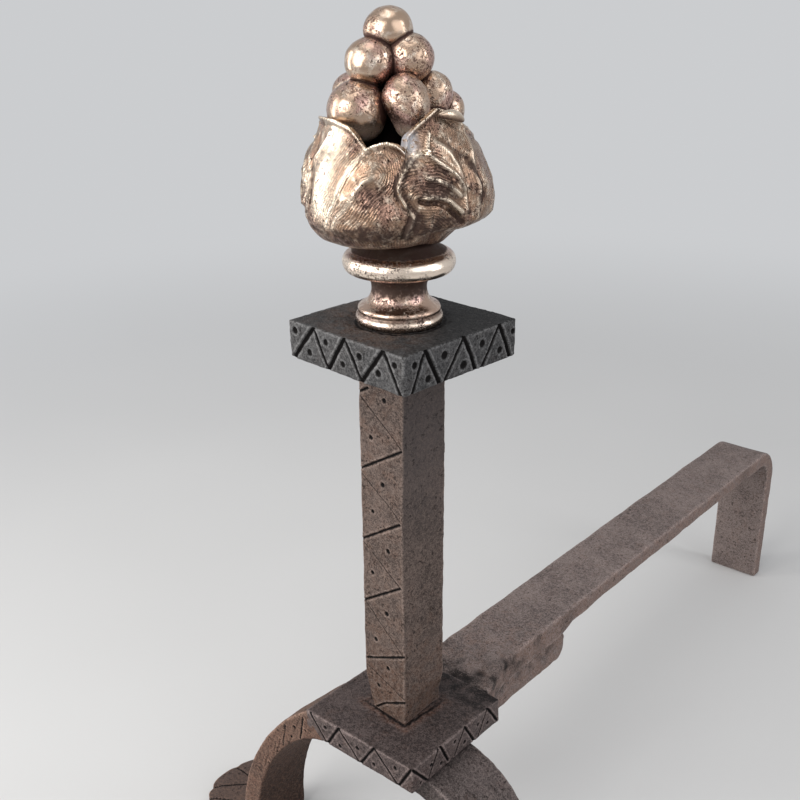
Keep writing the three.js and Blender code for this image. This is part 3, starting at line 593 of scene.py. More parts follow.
def build_post():
    size = (POST_SIDE, POST_SIDE, POST_HEIGHT)
    piece, half, co, worn = gridded_block("forged_post", size, (50, 50, 360), 0.6)
    co, out = soften(co, half, 0.6 + 0.25 * grain(co, 6, 31))
    x, y, up = co[:, 0], co[:, 1], co[:, 2] + half[2]
    face = half[0]
    cut, groove = engrave(co, out, [((0, -1, 0), (-face, -half[2]), *post_marks())], 41)
    cut += hammer(co, out, 51, 0.42, 0.14)
    # hammered flats at the foot, on the left and at the back of the right side
    cut[:, 0] += unit(-x / face) * unit((17 - up) / 15) * 4.8
    flat = unit((13 - up + 0.12 * (y + face)) / 10)
    cut[:, 0] -= unit(x / face) * flat * 2.2 * ease(y, -face, face)
    # a long hammer dent down the right side, with a ridge below it and a blister above it
    side = unit((out[:, 0] - 0.5) * 2)
    dent = bell(up - 116, 12) * bell(y - 3, 7)
    ridge = bell(up - 103 + 0.4 * y, 1.6) * bell(y - 2, 6)
    blister = bell(up - 133, 3.2) * bell(y - 11, 3.5)
    cut[:, 0] += side * (-0.9 * dent + 0.35 * ridge + 0.7 * blister)
    cut[:, 0] -= 0.5 * bell(up - 145, 4) * unit(-out[:, 0])
    # the bar isn't quite square: its left and right corners stand out and the near one wanders left
    aside = (x + y) / (2 * face)
    near = unit((x - y) / (2 * face)) * (1 - np.abs(aside))
    shove = np.where(aside < 0, 0.42, 0.3) * aside - 0.5 * near * bell(up - 95, 42)
    cut[:, :2] += shove[:, None]
    cut = np.clip(cut, -half - np.array([0.8, 0.8, 0]), half + np.array([0.7, 0.7, 0]))
    rust = 0.45 * ease(-up, -60, -8) + 0.2 * unit(-out[:, 1]) - 0.9 * side * ease(up, 60, 150)
    # the right side is painted darker as shade towards the top, under the cap, and the other sides are darker
    # towards the foot
    grey = 0.2 * side * ease(up, 110, 165) + 0.14 * (1 - side) * ease(-up, -75, -25)
    paint(piece, groove, worn * 0.7, rust, grey)
    cut[:, 2] += half[2]
    set_down(piece, in_pillar(cut), "post", IRON_POST)


def build_tenon():
    """The riveted head of the post's tenon, under the leg's lap."""
    piece, half, co, worn = gridded_block("rivet_head", (19, 19, 4), (24, 24, 6))
    co, out = soften(co, half, 1.4)
    co += hammer(co, out, 61, 0.35, 0.12)
    co[:, 2] -= 24.9 + half[2]
    paint(piece, wear_and_highlight=worn * 0.5)
    set_down(piece, in_pillar(co), "post", IRON_RIGHT)


# ---------- cap ----------
def cap_marks():
    bold, fine = (2.25, 1.4), (1.75, 0.9)
    front, right = [], []
    for top, foot, far in ((14.9, 1.9, 23.5), (33, 22.8, 43), (54.3, 42, 64)):
        front += [(top, 16, foot, 0, *bold), (top + 0.6, 15.2, far, -0.5, *fine)]
    for top, left, low in ((11.9, 4.3, 19.8), (33, 22.3, 40.7), (54.5, 43.8, 61.8)):
        right += [(top, 16, low, 0.2, *bold), (top - 0.4, 15.5, left, -0.3, *fine)]
    front_dots = [(3.7, 12.3, 1.6), (12, 4.8, 1.6), (22.1, 11.5, 1.6), (31.8, 4.7, 1.5), (41.2, 10.4, 1.6)]
    front_dots += [(51.6, 6.2, 1.6), (60.4, 11.7, 1.4)]
    right_dots = [(6.1, 11.2, 1.6), (13.3, 3.8, 1.7), (22.5, 11.1, 2), (33.3, 4.2, 2), (44, 10.4, 1.8)]
    right_dots += [(54.9, 4.9, 1.7), (63.2, 10.8, 1.4)]
    return front, front_dots, right, right_dots


def build_cap():
    piece, half, co, worn = gridded_block("forged_cap", (CAP_SIDE, CAP_SIDE, CAP_THICK), (144, 144, 34))
    corner = ease(np.abs(co[:, :2]).min(axis=1), 28, 32) * ease(-co[:, 2], -6, 6)
    co, out = soften(co, half, 0.55 + 0.25 * grain(co, 5, 71) + 0.3 * corner)
    x, y, z = co.T
    front, front_dots, right, right_dots = cap_marks()
    marks = (((0, -1, 0), front, front_dots), ((1, 0, 0), right, right_dots),
             ((0, 1, 0), front, right_dots), ((-1, 0, 0), right, front_dots))
    faces = [(outward, (-half[0], -half[2]), strokes, dots) for outward, strokes, dots in marks]
    cut, groove = engrave(co, out, faces, 81)
    cut += hammer(co, out, 91, 0.6, 0.25)
    # the underside's edges are drawn in a little, and the near corner is flattened
    low = ease(-z, 1, half[2])
    cut[:, :2] *= (1 - 0.006 * low)[:, None]
    past = np.maximum(cut[:, 0] - cut[:, 1] - (2 * half[0] - 0.5 - 0.5 * low), 0)
    cut[:, 0] -= past / 2
    cut[:, 1] += past / 2
    cut[:, :2] = np.clip(cut[:, :2], -half[:2] - 0.35, half[:2] + 0.35)
    # brown crumbs lie round the finial's foot, which sits in a slight dish
    top = unit(out[:, 2])
    off = np.hypot(x - STUD_SHIFT[0], y - STUD_SHIFT[1])
    brown = bell(off - 22, 17) * top * ease(-x - y, -34, 10) * (0.75 + 0.5 * grain(co, 4, 72))
    cut[:, 2] += top * brown * (0.4 * grain(co, 1.7, 73) + 0.3 * grain(co, 0.9, 74))
    cut[:, 2] -= top * 0.75 * (1 - ease(off, 18.3, 23))
    # painted shade: a dark ring in the crevice at the finial's foot, and the right side darker; the top is
    # darker, most towards the right and back
    ring = bell(off - 18, 0.7) * top
    soot_and_shade = (0.55 + 0.45 * ease(x + y, -10, 25)) * top * (1 - 0.75 * brown) + 0.1 * unit(out[:, 0])
    paint(piece, np.where(np.abs(groove) < UNCUT, ring * 0.7, groove), worn * (z > 0), brown, soot_and_shade)
    cut[:, :2] = cut[:, :2] * 1.013 + 0.25
    cut[:, 2] = np.clip(cut[:, 2], -half[2], half[2]) + CAP_BOTTOM + half[2]
    set_down(piece, in_pillar(cut), "cap_plate", IRON_CAP)


# ---------- legs and feet ----------
def bend_leg(name, outer, inner, middle, seed, creases, side):
    """Bends a straight bar into a leg with its fan foot. side is -1 to the left and 1 to the right."""
    piece, half, start, worn = gridded_block(name, (LEG_WIDTH, LEG_THICK, LEG_LENGTH), (44, 16, 300))
    # the ankle and the foot, as lines of (x, z)
    heel_out = bezier((LEG_OUT, 12), (LEG_OUT, 8.5), (85, 6.2), (88.5, 6), 8)
    heel_in = bezier((LEG_IN, 12), (LEG_IN, 3), (73, 0), (78, 0), 8)
    outer = np.vstack([outer, heel_out, line((FOOT_TOP, 6), (TOE, 5.2), FOOT_ROWS)])
    inner = np.vstack([inner, heel_in, line((FOOT_SOLE, 0), (TOE, 0), FOOT_ROWS)])
    co, out = soften(start, half, 1 + 0.35 * grain(start, 6, seed))
    co = co + hammer(co, out, seed + 2, 0.32, 0.14)
    t = unit((co[:, 2] + half[2]) / LEG_LENGTH)
    through = np.clip((co[:, 1] + half[1]) / LEG_THICK, -0.04, 1.04)
    x, z = (along(outer, t) * (1 - through)[:, None] + along(inner, t) * through[:, None]).T
    # past the ankle the bar spreads into a fan with creased toes
    foot_start = (len(outer) - FOOT_ROWS) / (len(outer) - 1)
    share = unit((t - foot_start) / (1 - foot_start))
    angle = co[:, 0] / half[0] * FAN
    reach = np.interp(angle, [-FAN, -29, -18, -5, 11, FAN], [34.2, 34.7, 36.6, 38.6, 39.4, 40.6])
    for crease in (15.8, -15.9, -28.8):
        reach = reach - 1.1 * bell(angle - crease, 3.2)
    root = FOOT_TOP * (1 - through) + FOOT_SOLE * through
    rim_x = LEG_OUT + reach * np.cos(np.radians(angle))
    x = np.where(share > 0, root + (rim_x - root) * share, x)
    y = co[:, 0] * (1 - share) + reach * np.sin(np.radians(angle)) * share
    top = (through < 0.5) * ease(share, 0, 0.12)
    cut, crease = chisel(x - LEG_OUT, y, creases, (), seed + 5)
    z = z - cut * top - top * ease(share, 0.75, 1)
    co = np.stack([side * x, middle + y, np.maximum(z, 0)], 1)
    inside = ease(through, 0.8, 1) * (1 - ease(share, 0, 0.1))
    return piece, co, out, through, share, crease * top, inside, worn * (1 - inside)


def build_left_leg():
    outer = bezier((32.8, 103.8), (52.2, 91.9), (82, 54), (LEG_OUT, 13), 75)
    inner = bezier((22, 91.7), (42.2, 87.4), (70, 59.1), (LEG_IN, 13), 75)
    creases = [
        (36, 10.2, 24.6, 8.9, 1.4, 0.9), (36, -10.6, 21.3, 3.7, 1.4, 0.9), (32, -17.4, 17, -9.7, 1.3, 0.8)]
    piece, co, out, through, _, crease, inside, worn = bend_leg(
        "forged_left_leg", outer, inner, LEFT_LEG_MIDDLE, 101, creases, -1)
    # the weld is hammered lower towards the back
    co[:, 2] -= 1.7 * ease(co[:, 1], -24, 1) * (1 - unit(through)) * ease(co[:, 2], 55, 98)
    z = co[:, 2]
    # the plate's chiselled band runs on over the shoulder of the leg
    bold, worn_cut, faint = (1.3, 0.7), (1.1, 0.35), (0.9, 0.2)
    strokes = [
        (-2.7, -6.4, -5.2, -19.4, *bold), (-15.4, -17.4, -17.7, -30.1, *worn_cut),
        (-22.6, -29.6, -24.8, -40.1, *faint)]
    strokes += [(-4, -5, -14, -28, *faint), (-16, -17, -23, -38, *faint), (-30, -44, -33.5, -54, *faint)]
    dots = [
        (-1.5, -13, 0.8), (-9.2, -14.6, 0.9), (-11.4, -21.5, 0.8), (-19.5, -27.5, 0.8), (-22, -36, 0.8),
        (-29, -47, 0.8)]
    front = unit((-out[:, 0] - 0.25) / 0.45)
    depth, mask = chisel(co[:, 0] + PLATE_SIDE / 2, z - PLATE_TOP, strokes, dots, 107)
    co[:, 1] += depth * front
    grey = ease(-z, -22, -8) * 0.9 + 0.5 * ease(z, 96, 103)
    # the inner face is painted darker as shade, most low down, and so are the toes' creases
    soot_and_shade = inside * (0.35 + 0.35 * ease(-z, -80, -20)) + crease * 0.3
    groove = np.maximum(mask * front, crease * 0.7) + np.minimum(mask * front, 0)
    paint(piece, groove, worn, np.where(inside > 0.05, inside, 0.3 - grey), soot_and_shade)
    set_down(piece, co, "left_leg", IRON_LEFT)


def build_right_leg():
    knee = bezier((22, 91.7), (38.4, 91.3), (54.1, 83), (61, 71), 26)
    shin = bezier((61.6, 70), (67.9, 59), (82.2, 34), (LEG_OUT, 13), 25)
    belly = bezier((22, 80.7), (47.3, 78.7), (69.5, 50.1), (LEG_IN, 13), 51)
    outer = np.vstack([line((-15, 91.7), (21, 91.7), 24), knee, shin])
    inner = np.vstack([line((-15, 80.7), (21, 80.7), 24), belly])
    creases = [
        (37, 10.4, 20, 6.5, 1.4, 0.9), (37, -10.4, 21, -5, 1.4, 0.9), (32, -17.2, 18, -10.5, 1.3, 0.8)]
    piece, co, _, through, share, crease, inside, worn = bend_leg(
        "forged_right_leg", outer, inner, RIGHT_LEG_MIDDLE, 131, creases, 1)
    open_top = (through < 0.4) * ease(co[:, 0], 28, 36)
    co[:, 2] += open_top * 0.35 * grain(co, 2.4, 141) * ease(-share, -0.1, 0)
    # the inner face and the lap under the plate are painted darker as shade, and the toes' creases dark
    paint(piece, crease * 0.7, worn, 0.25 * inside, 0.45 * inside + 0.5 * ease(-co[:, 0], -40, -30))
    set_down(piece, co, "right_leg", IRON_RIGHT)


# ---------- log bar and tongue ----------
def build_log_bar():
    size = (BAR_WIDTH, BAR_THICK, BAR_LENGTH)
    piece, half, co, worn = gridded_block("forged_log_bar", size, (30, 10, 420), 1.1)
    seam = ease(-co[:, 1], 1, 5) * ease(-co[:, 2], 110, 125)
    co, out = soften(co, half, (1.5 + 0.4 * grain(co, 7, 151)) * (1 - 0.75 * seam))
    co = co + hammer(co, out, 153, 0.36, 0.1)
    # the bar's top and underside, as lines of (y, z)
    bend, heel, root, thin = BAR_REACH - 24, BAR_TOP - 24, BAR_TOP - 13.7, BAR_TOP - 9.5
    top = np.vstack([
        line((BAR_START, BAR_TOP - 2.6), (50, BAR_TOP), 22), line((51, BAR_TOP), (bend - 1, BAR_TOP), 320),
        quarter(bend, heel, 24, 38), line((BAR_REACH, heel - 1), (BAR_REACH, 0), 80)])
    low = np.vstack([
        line((BAR_START, root), (50, root), 22), line((51, root), (108, root), 57),
        line((109, root + 0.1), (122, thin), 14), line((123, thin), (bend - 1, thin), 249),
        quarter(bend, heel, 14.5, 38), line((BAR_REACH - 9.5, heel - 1), (BAR_REACH - 9.5, 0), 80)])
    t = unit((co[:, 2] + half[2]) / BAR_LENGTH)
    through = (co[:, 1] + half[1]) / BAR_THICK
    y, z = (along(low, t) * (1 - through)[:, None] + along(top, t) * through[:, None]).T
    # the right side spreads where it is welded to the plate, and the top there is scarfed and pitted
    up = through > 0.6
    x = BAR_X + co[:, 0] + ease(-y, -60, -33) * unit(co[:, 0] / half[0]) * 6.5
    here = np.stack([x, y, np.zeros_like(x)], 1)
    scarf = up * ease(-y, -64, -40)
    z = z - scarf * (0.5 + 0.8 * grain(here, 4, 157) + 0.5 * grain(here, 1.7, 158))
    groove = np.zeros(len(co))
    for px, py, size in ((13, 43, 3.2), (20.5, 44, 2.2), (18.5, 58, 2.8), (9.5, 37, 2.6), (3, 35, 2.5)):
        pit = up * bell(np.hypot((x - px) / 1.3, y - py), size)
        z -= pit
        groove = np.maximum(groove, pit * 0.5)
    joint = bell(y - 34.4, 1.3) * up
    groove = np.maximum(groove, joint * (0.35 + 0.4 * grain(here, 3, 159)))
    flank = unit(out[:, 0])
    mottle = unit(0.5 + 0.9 * grain(np.stack([x * 0, y, z], 1), 4, 161))
    near = ease(-y, -66, -42) * up * unit(0.5 + 1.1 * grain(here, 7.5, 163))
    band = ease(-y, -104, -84) * flank * mottle * 0.75
    far = flank * (y > 110) * ease(grain(here, 16, 165), 0.1, 0.5) * 0.4
    brown = 0.6 * np.abs(out[:, 0]) + 0.25 * ease(-y, -110, -70)
    paint(piece, groove, worn * 0.5, brown, near + band + far)
    co = np.stack([x, np.clip(y, BAR_START, BAR_REACH), np.clip(z, 0, BAR_TOP)], 1)
    set_down(piece, co, "log_bar", IRON_BAR)


def build_tongue():
    size = (BAR_WIDTH, TONGUE_THICK, TONGUE_END - TONGUE_START)
    piece, half, co, worn = gridded_block("forged_tongue", size, (40, 16, 120), 1.1)
    low = ease(-co[:, 1], -5.5, -2)
    radius = (1.6 + 0.5 * grain(co, 6, 171)) * (0.25 + 0.75 * low)
    radius = radius + 3.4 * ease(co[:, 2], half[2] - 9, half[2] - 3)
    co, out = soften(co, half, radius)
    co = co + hammer(co, out, 173, 0.55, 0.26)
    x, y, z = BAR_X + co[:, 0], TONGUE_START + half[2] + co[:, 2], TONGUE_MIDDLE + co[:, 1]
    mottle = unit(0.4 + 0.9 * grain(np.stack([x * 0, y, z], 1), 4.2, 177))
    # darker in mottled patches along the top of its right side, and painted darker as shade towards the
    # front, under the plate
    soot_and_shade = unit(out[:, 0]) * ease(z, 85, 91) * mottle * 0.7 * ease(-y, -112, -98) + 0.4 * ease(-y, -50, -36)
    paint(piece, 0, worn * low * 0.6, 0.45 + 0.2 * mottle, soot_and_shade)
    z = np.clip(np.where(z > 91, z + 1.2, z), 78.7, 92.9)
    co = np.stack([x, np.clip(y, TONGUE_START, TONGUE_END), z], 1)
    set_down(piece, co, "back_tongue", IRON_BAR)


# ---------- brass neck ----------
def build_neck():
    profile = [
        (4.4, 0), (16.6, 0), (17.5, 0.4), (17.9, 1.4), (17.9, 2.6), (17.5, 3.4), (16.9, 3.8), (16.6, 4.1)]
    profile += [(16.8, 4.6), (16.9, 5.2), (16.7, 5.9), (16.2, 6.4), (15.8, 6.6)]
    profile += [*bezier((15.6, 6.8), (12.6, 8), (11, 10.8), (11.2, 14.2), 12)[1:]]
    profile += [*bezier((11.2, 14.2), (11.3, 16.6), (12.6, 18.4), (16.6, 19.6), 9)[1:]]
    profile += [(17.1, 19.9), (17.3, 20.3), (18.2, 20.5)]
    turn = np.radians(np.linspace(-80, 80, 17))
    profile += [(19.3 + 3.5 * math.cos(a), 24.5 + 4.1 * math.sin(a)) for a in turn]
    profile += [
        (19.6, 28.7), (19.3, 28.9), (18.6, 29.2), (16.6, 30.4), (15.2, 31.6), (14.2, 32.9), (4.4, 33)]
    piece = fresh("turned_neck", bpy.ops.mesh.primitive_plane_add, size=1)
    mode("EDIT")
    bpy.ops.mesh.delete(type="VERT")
    mesh = bmesh.from_edit_mesh(piece.data)
    ring = [mesh.verts.new((r, 0, z)) for r, z in profile]
    for a, b in zip(ring, ring[1:] + ring[:1]):
        mesh.edges.new((a, b))
    bmesh.update_edit_mesh(piece.data)
    bpy.ops.mesh.select_all(action="SELECT")
    bpy.ops.mesh.spin(steps=128, angle=2 * math.pi, center=(0, 0, 0), axis=(0, 0, 1))
    bpy.ops.mesh.select_all(action="SELECT")
    bpy.ops.mesh.remove_doubles(threshold=0.01)
    mode("OBJECT")
    co = points_of(piece)
    radius = np.hypot(co[:, 0], co[:, 1])
    z = co[:, 2]
    dents = grain(co, 6, 181) * 0.12 + grain(co, 2.2, 182) * 0.06
    co[:, :2] *= np.where(radius > 5, 1 + dents / np.maximum(radius, 1), 1)[:, None]
    # the grooves and the waist darken as patina; the shoulder under the cup is painted dark as shade
    hollow = bell(z - 3.9, 0.7) * 0.5 + ease(z, 8.5, 14) * (1 - ease(z, 18.5, 20.5)) * 0.75
    hollow += bell(z - 20.1, 0.7) * 0.6 + ease(z, 28.6, 29.4) * 0.9
    raised = bell(radius - 22.5, 1) + 0.7 * bell(radius - 17.6, 0.5) * (z < 4)
    store(piece, hollow=unit(hollow), raised=unit(raised), stain=0.7 * ease(grain(co, 7, 183), -0.5, 0.5))
    co[:, 2] = np.clip(z, 0, 33) - 0.7 * (1 - ease(z, 2.5, 5.5))
    set_down(piece, in_finial(co), "finial_neck", BRASS_TURNED, 60)


# ---------- leaf cup ----------
# (height, radius) of a full and a lean side, and (angle, height) of the rim
FULL = np.array([
    (33.3, 20), (34, 26.5), (36.7, 32.6), (40, 35.2), (45, 37.4), (49, 37.6), (53, 36.6), (60, 35.5),
    (67, 33.5), (71, 31.4), (75.6, 29.8), (78, 29.7), (82, 29), (88, 28.5)])
LEAN = np.array([
    (33.3, 18), (35, 19.8), (37.2, 21.8), (38.6, 23), (39.8, 26), (41, 29.4), (43, 33), (45.5, 35.2),
    (49, 35.2), (54, 34.8), (58, 34.3), (62, 32.7), (66.5, 31.1), (70, 30.2), (73, 28.4), (76, 26.4),
    (79.5, 25.6), (84, 25.2), (88, 25)])
EDGE = np.array([
    (-100, 80), (-85, 81), (-79, 81.4), (-62, 81.9), (-52, 81.9), (-43, 80.9), (-36, 79.8), (-30.7, 77.7),
    (-26.6, 75.6), (-20.5, 73.2), (-16.6, 74.3), (-11, 75.2), (-7, 75.5), (-1.3, 74.6), (2, 73.3),
    (5.2, 71.6), (7, 77.5), (14.5, 80.9), (23.2, 83.2), (28.4, 84.6), (34.4, 86.2), (42, 85), (53.7, 82),
    (64.3, 79.8), (76.5, 77.4), (90, 75.2), (102, 73.6), (112, 75.2), (122, 73), (128, 71.6), (132, 77.5),
    (145, 82), (160, 85), (172, 83.5), (186, 80.5), (200, 76.5), (210, 74.5), (220, 76), (232, 73.5),
    (238, 71.8), (243, 76.5), (252, 79), (260, 80)])
RIDGE_S = [
    (24.4, 77.6), (23.1, 75.6), (21.6, 73.6), (21, 71.7), (16.4, 71.2), (12, 70.3), (8.5, 68.8), (6, 67.3),
    (3.4, 65.3), (1.5, 63.2), (0.3, 61.3), (-0.2, 59.4), (0.6, 57.2), (2.1, 55.5), (3.7, 53.7), (6.1, 51.8),
    (7.9, 50.6), (9, 49.4), (8.5, 47.5), (7.1, 45.5), (5.9, 43.2), (5, 40)]
RIDGE_BRANCH = [
    (21, 71.7), (24.1, 69.6), (27.5, 68.2), (31, 66.8), (34.8, 65.3), (38.8, 63.8), (41.7, 61.9),
    (43.6, 60), (44.6, 57.5)]
RIDGE_TWO = [(18, 63.3), (23.1, 62.6), (29, 61), (33.7, 59.2), (37.1, 57.8), (41.4, 55.7)]
RIDGE_THREE = [(17.3, 56.4), (20.9, 56.4), (24.6, 56), (28.4, 55.3), (32.3, 54.2), (36.8, 52), (42.3, 49.5)]
CREVICE = [(13, 55), (17.2, 54.4), (23, 54.3), (28.2, 53), (33.5, 50.9), (39.8, 47.8), (45, 45)]
VALLEY = [
    (6.6, 71.2), (1.2, 68.8), (-3.5, 66), (-5.6, 63.6), (-6.2, 61.5), (-5.4, 59.4), (-3, 56.3), (0.2, 53.3),
    (1.8, 50), (2.2, 47.1), (2.6, 43.8), (3, 38)]
RIB_ONE = [
    (-14.9, 63.8), (-19.8, 62), (-23.3, 59.3), (-26.9, 55.6), (-31.1, 51.6), (-36.5, 48.3), (-40, 44)]
RIB_TWO = [
    (-20.5, 73.2), (-24.7, 70.5), (-31, 64.9), (-34.7, 59.5), (-37.7, 53.9), (-41.7, 49.8), (-45, 44)]
FOLD_LINE = [
    (28.8, 74.8), (34.5, 73.1), (38.4, 70.9), (40.8, 68.3), (44.7, 65.5), (46.8, 61.9), (46.9, 58.3),
    (47.5, 50)]
OUTER_RIB = [(67.1, 76.7), (62.1, 71.9), (59, 67.8), (58.5, 62.1), (59.3, 57), (57.8, 52.5), (56, 46)]
LOBE_LINE = [(-78.6, 73.6), (-71, 69.5), (-64, 65.4), (-60, 60.2), (-60, 55.6), (-62, 49)]
TOP = 99  # above the whole cup
# lines over the leaves: moved across and up, relief and width, dark and width, bright and width,
# and the heights at which the relief and the dark stop
LEAF_LINES = (
    (RIDGE_S, 0, 0, 1.5, 1.2, 0, 1, 1.1, 0.8, TOP, TOP),
    (VALLEY, 0, 0, -3, 4.4, 0, 1, 0, 1, TOP, TOP),
    (RIDGE_S, 1.7, 0, -1.3, 0.9, 0.8, 0.8, 0, 1, 72, 70),
    (RIDGE_S, -3.2, 0, -0.9, 1.2, 0.55, 1.5, 0, 1, 72, 71),
    (RIDGE_BRANCH, 0, 0, 1.4, 1.1, 0, 1, 1, 0.77, TOP, TOP),
    (RIDGE_TWO, 0, 0, 0.9, 1.1, 0, 1, 1, 0.77, TOP, TOP),
    (RIDGE_THREE, 0, 0, 1.5, 1.2, 0, 1, 1, 0.84, TOP, TOP),
    (RIDGE_BRANCH, 0, 2.6, -0.6, 1, 0.3, 1.2, 0, 1, TOP, TOP),
    (RIDGE_TWO, 0, 2.3, -0.6, 1, 0.3, 1.2, 0, 1, TOP, TOP),
    (CREVICE, 0, 0, -1.7, 1, 0.5, 0.9, 0, 1, TOP, TOP),
    (RIB_ONE, 0, 0, 0.8, 1.4, 0, 1, 0.7, 0.9, TOP, TOP),
    (RIB_TWO, 0, 0, 0.6, 1.4, 0, 1, 0.7, 0.9, TOP, TOP),
    (FOLD_LINE, 0, 0, 0.9, 1.4, 0, 1, 0.7, 0.9, TOP, TOP),
    (OUTER_RIB, 0, 0, 1, 1.4, 0, 1, 0.7, 0.9, TOP, TOP),
    (LOBE_LINE, 0, 0, -0.9, 1.4, 0.5, 1.2, 0, 1, TOP, TOP),
)
# the curl, the leaf body and the side leaf swell, with hollows between and below them:
# (angle, height, width, height's width, swell), and the same for what is dark
SWELLS = (
    (22, 61, 17, 9, 1.7), (-33, 54, 22, 16, 1.6), (24, 45.5, 15, 4.5, -2.2), (66, 60, 13, 14, 1.5),
    (50, 58, 5, 11, -1.5))
# what is dark: patina, with painted shade inside the curl, below it and low on the leaf bodies
DARKS = (
    (23, 60, 17, 8, 0.5), (24, 46, 18, 5, 0.55), (55, 58, 12, 12, 0.4), (-22, 42, 30, 5, 0.3),
    (-14, 58, 9, 6, 0.22), (-24, 57, 14, 14, 0.3))
LEAF_SHIFTS = (0, -122, 121)


def near_line(theta, z, points, shift=0):
    """Distance in mm over the cup's side to a drawn line."""
    u = np.radians(theta) * CUP_GIRTH
    best = np.full(len(theta), 1e9)
    turn = math.radians(1) * CUP_GIRTH
    half_way = math.pi * CUP_GIRTH
    for (t0, z0), (t1, z1) in zip(points, points[1:]):
        a = np.array([(t0 + shift) * turn, z0])
        d = np.array([(t1 + shift) * turn, z1]) - a
        ru = (u - a[0] + half_way) % (2 * half_way) - half_way
        rz = z - a[1]
        k = unit((ru * d[0] + rz * d[1]) / (d @ d))
        best = np.minimum(best, np.hypot(ru - k * d[0], rz - k * d[1]))
    return best


def leaf_relief(theta, z, shift):
    """Relief of one leaf's curl and the leaf body before it, in mm, with its shading masks."""
    relief, hollow, raised = np.zeros((3, len(theta)))
    for points, across, up, tall, wide, dark, dim, bright, thin, relief_stop, dark_stop in LEAF_LINES:
        off = near_line(theta + across, z + up, points, shift)
        relief += tall * bell(off, wide) * (z < relief_stop)
        hollow += dark * bell(off, dim) * (z < dark_stop)
        raised += bright * bell(off, thin)
    u = (theta - shift + 180) % 360 - 180
    for across, high, wide, tall, swell in SWELLS:
        relief += swell * bell(u - across, wide) * bell(z - high, tall)
    for across, high, wide, tall, dark in DARKS:
        hollow += dark * np.exp(-((((u - across) / wide) ** 2 + ((z - high) / tall) ** 2) ** 1.5))
    return relief, hollow, raised


def chased_lines(theta, z):
    """Distance over the surface from the lines that the chasing runs round or beside."""
    lines = (CREVICE, RIB_ONE, RIB_TWO, OUTER_RIB)
    flow = np.min([near_line(theta, z, points, shift) for shift in LEAF_SHIFTS for points in lines], axis=0)
    low = ease(-z, -44, -40)
    return flow * (1 - low) + np.radians(theta) * 30 * low


def cup_skin(theta, row, base_rows, side_rows):
    """The outer skin of the leaf cup, and its masks, at angles and rows of its grid."""
    span = np.where(theta < -100, theta + 360, theta)
    edge = np.interp(span, EDGE[:, 0], EDGE[:, 1])
    full = unit(1 - ease(span, 0, 36) + ease(span, 95, 130) - ease(span, 165, 190) + ease(span, 210, 250))
    rise = unit((row - base_rows) / side_rows)
    z = CUP_BOTTOM + (edge - CUP_BOTTOM) * (0.16 * rise + 0.84 * rise**1.06)
    radius = np.interp(z, FULL[:, 0], FULL[:, 1]) * full + np.interp(z, LEAN[:, 0], LEAN[:, 1]) * (1 - full)
    in_base = row < base_rows
    start = FULL[0, 1] * full + LEAN[0, 1] * (1 - full)
    radius = np.where(in_base, 0.2 + (start - 0.2) * row / base_rows, radius)
    relief, hollow, raised = np.sum([leaf_relief(theta, z, shift) for shift in LEAF_SHIFTS], axis=0)
    z = z + 1.8 * bell(span - 8, 38) * ease(-z, -46, -36)
    below = edge - z
    live = ease(z, 34.5, 41) * (1 - 0.6 * ease(z, edge - 2.5, edge))
    relief = relief * live + 0.8 * bell(below - 0.5, 1) * rise - 0.5 * bell(below - 3, 1.2) * rise
    raised = raised * live + 0.9 * bell(below, 0.8) * (rise > 0.5)
    # the lower sides are hatched, and darker below as patina and painted shade; under the rim's lip is
    # painted shade
    hollow = hollow * live + 0.28 * ease(-z, -54, -42) + 0.12 * ease(-z, -43, -36)
    hollow += 0.35 * bell(below - 2.6, 1) * (rise > 0.5)
    skin = np.stack([np.radians(theta) * CUP_GIRTH, z, np.zeros_like(z)], 1)
    relief += grain(skin, 5, 201) * 0.25 + grain(skin, 2, 202) * 0.1
    radius = np.minimum(radius + np.where(in_base, 0, relief), CUP_WIDEST)
    # a painted highlight: a bright smooth band where the reflection of the left lamp falls
    band = bell((span + 50 + 180) % 360 - 180, 10) * ease(z, 42, 50)
    drawn = 0.3 + 0.7 * ease(grain(skin, 9, 203), -0.4, 0.4) + 0.5 * ease(-z, -46, -40)
    mottle = 0.85 + 0.25 * grain(skin, 7, 204) + 0.6 * grain(skin, 1.6, 205)
    masks = {
        "hollow": hollow * (1 - 0.9 * band) * mottle,
        "raised": raised + 0.8 * band,
        "drawn": drawn * (1 - 0.9 * band) * (1 - 0.6 * unit(raised)),
        "residue": bell(span - 8.5, 5) * bell(z - 75, 3.4) * 1.3,
    }
    angle = np.radians(theta)
    co = np.stack([radius * np.sin(angle), -radius * np.cos(angle), np.maximum(z, CUP_BOTTOM)], 1)
    return co, {name: unit(values) for name, values in masks.items()}


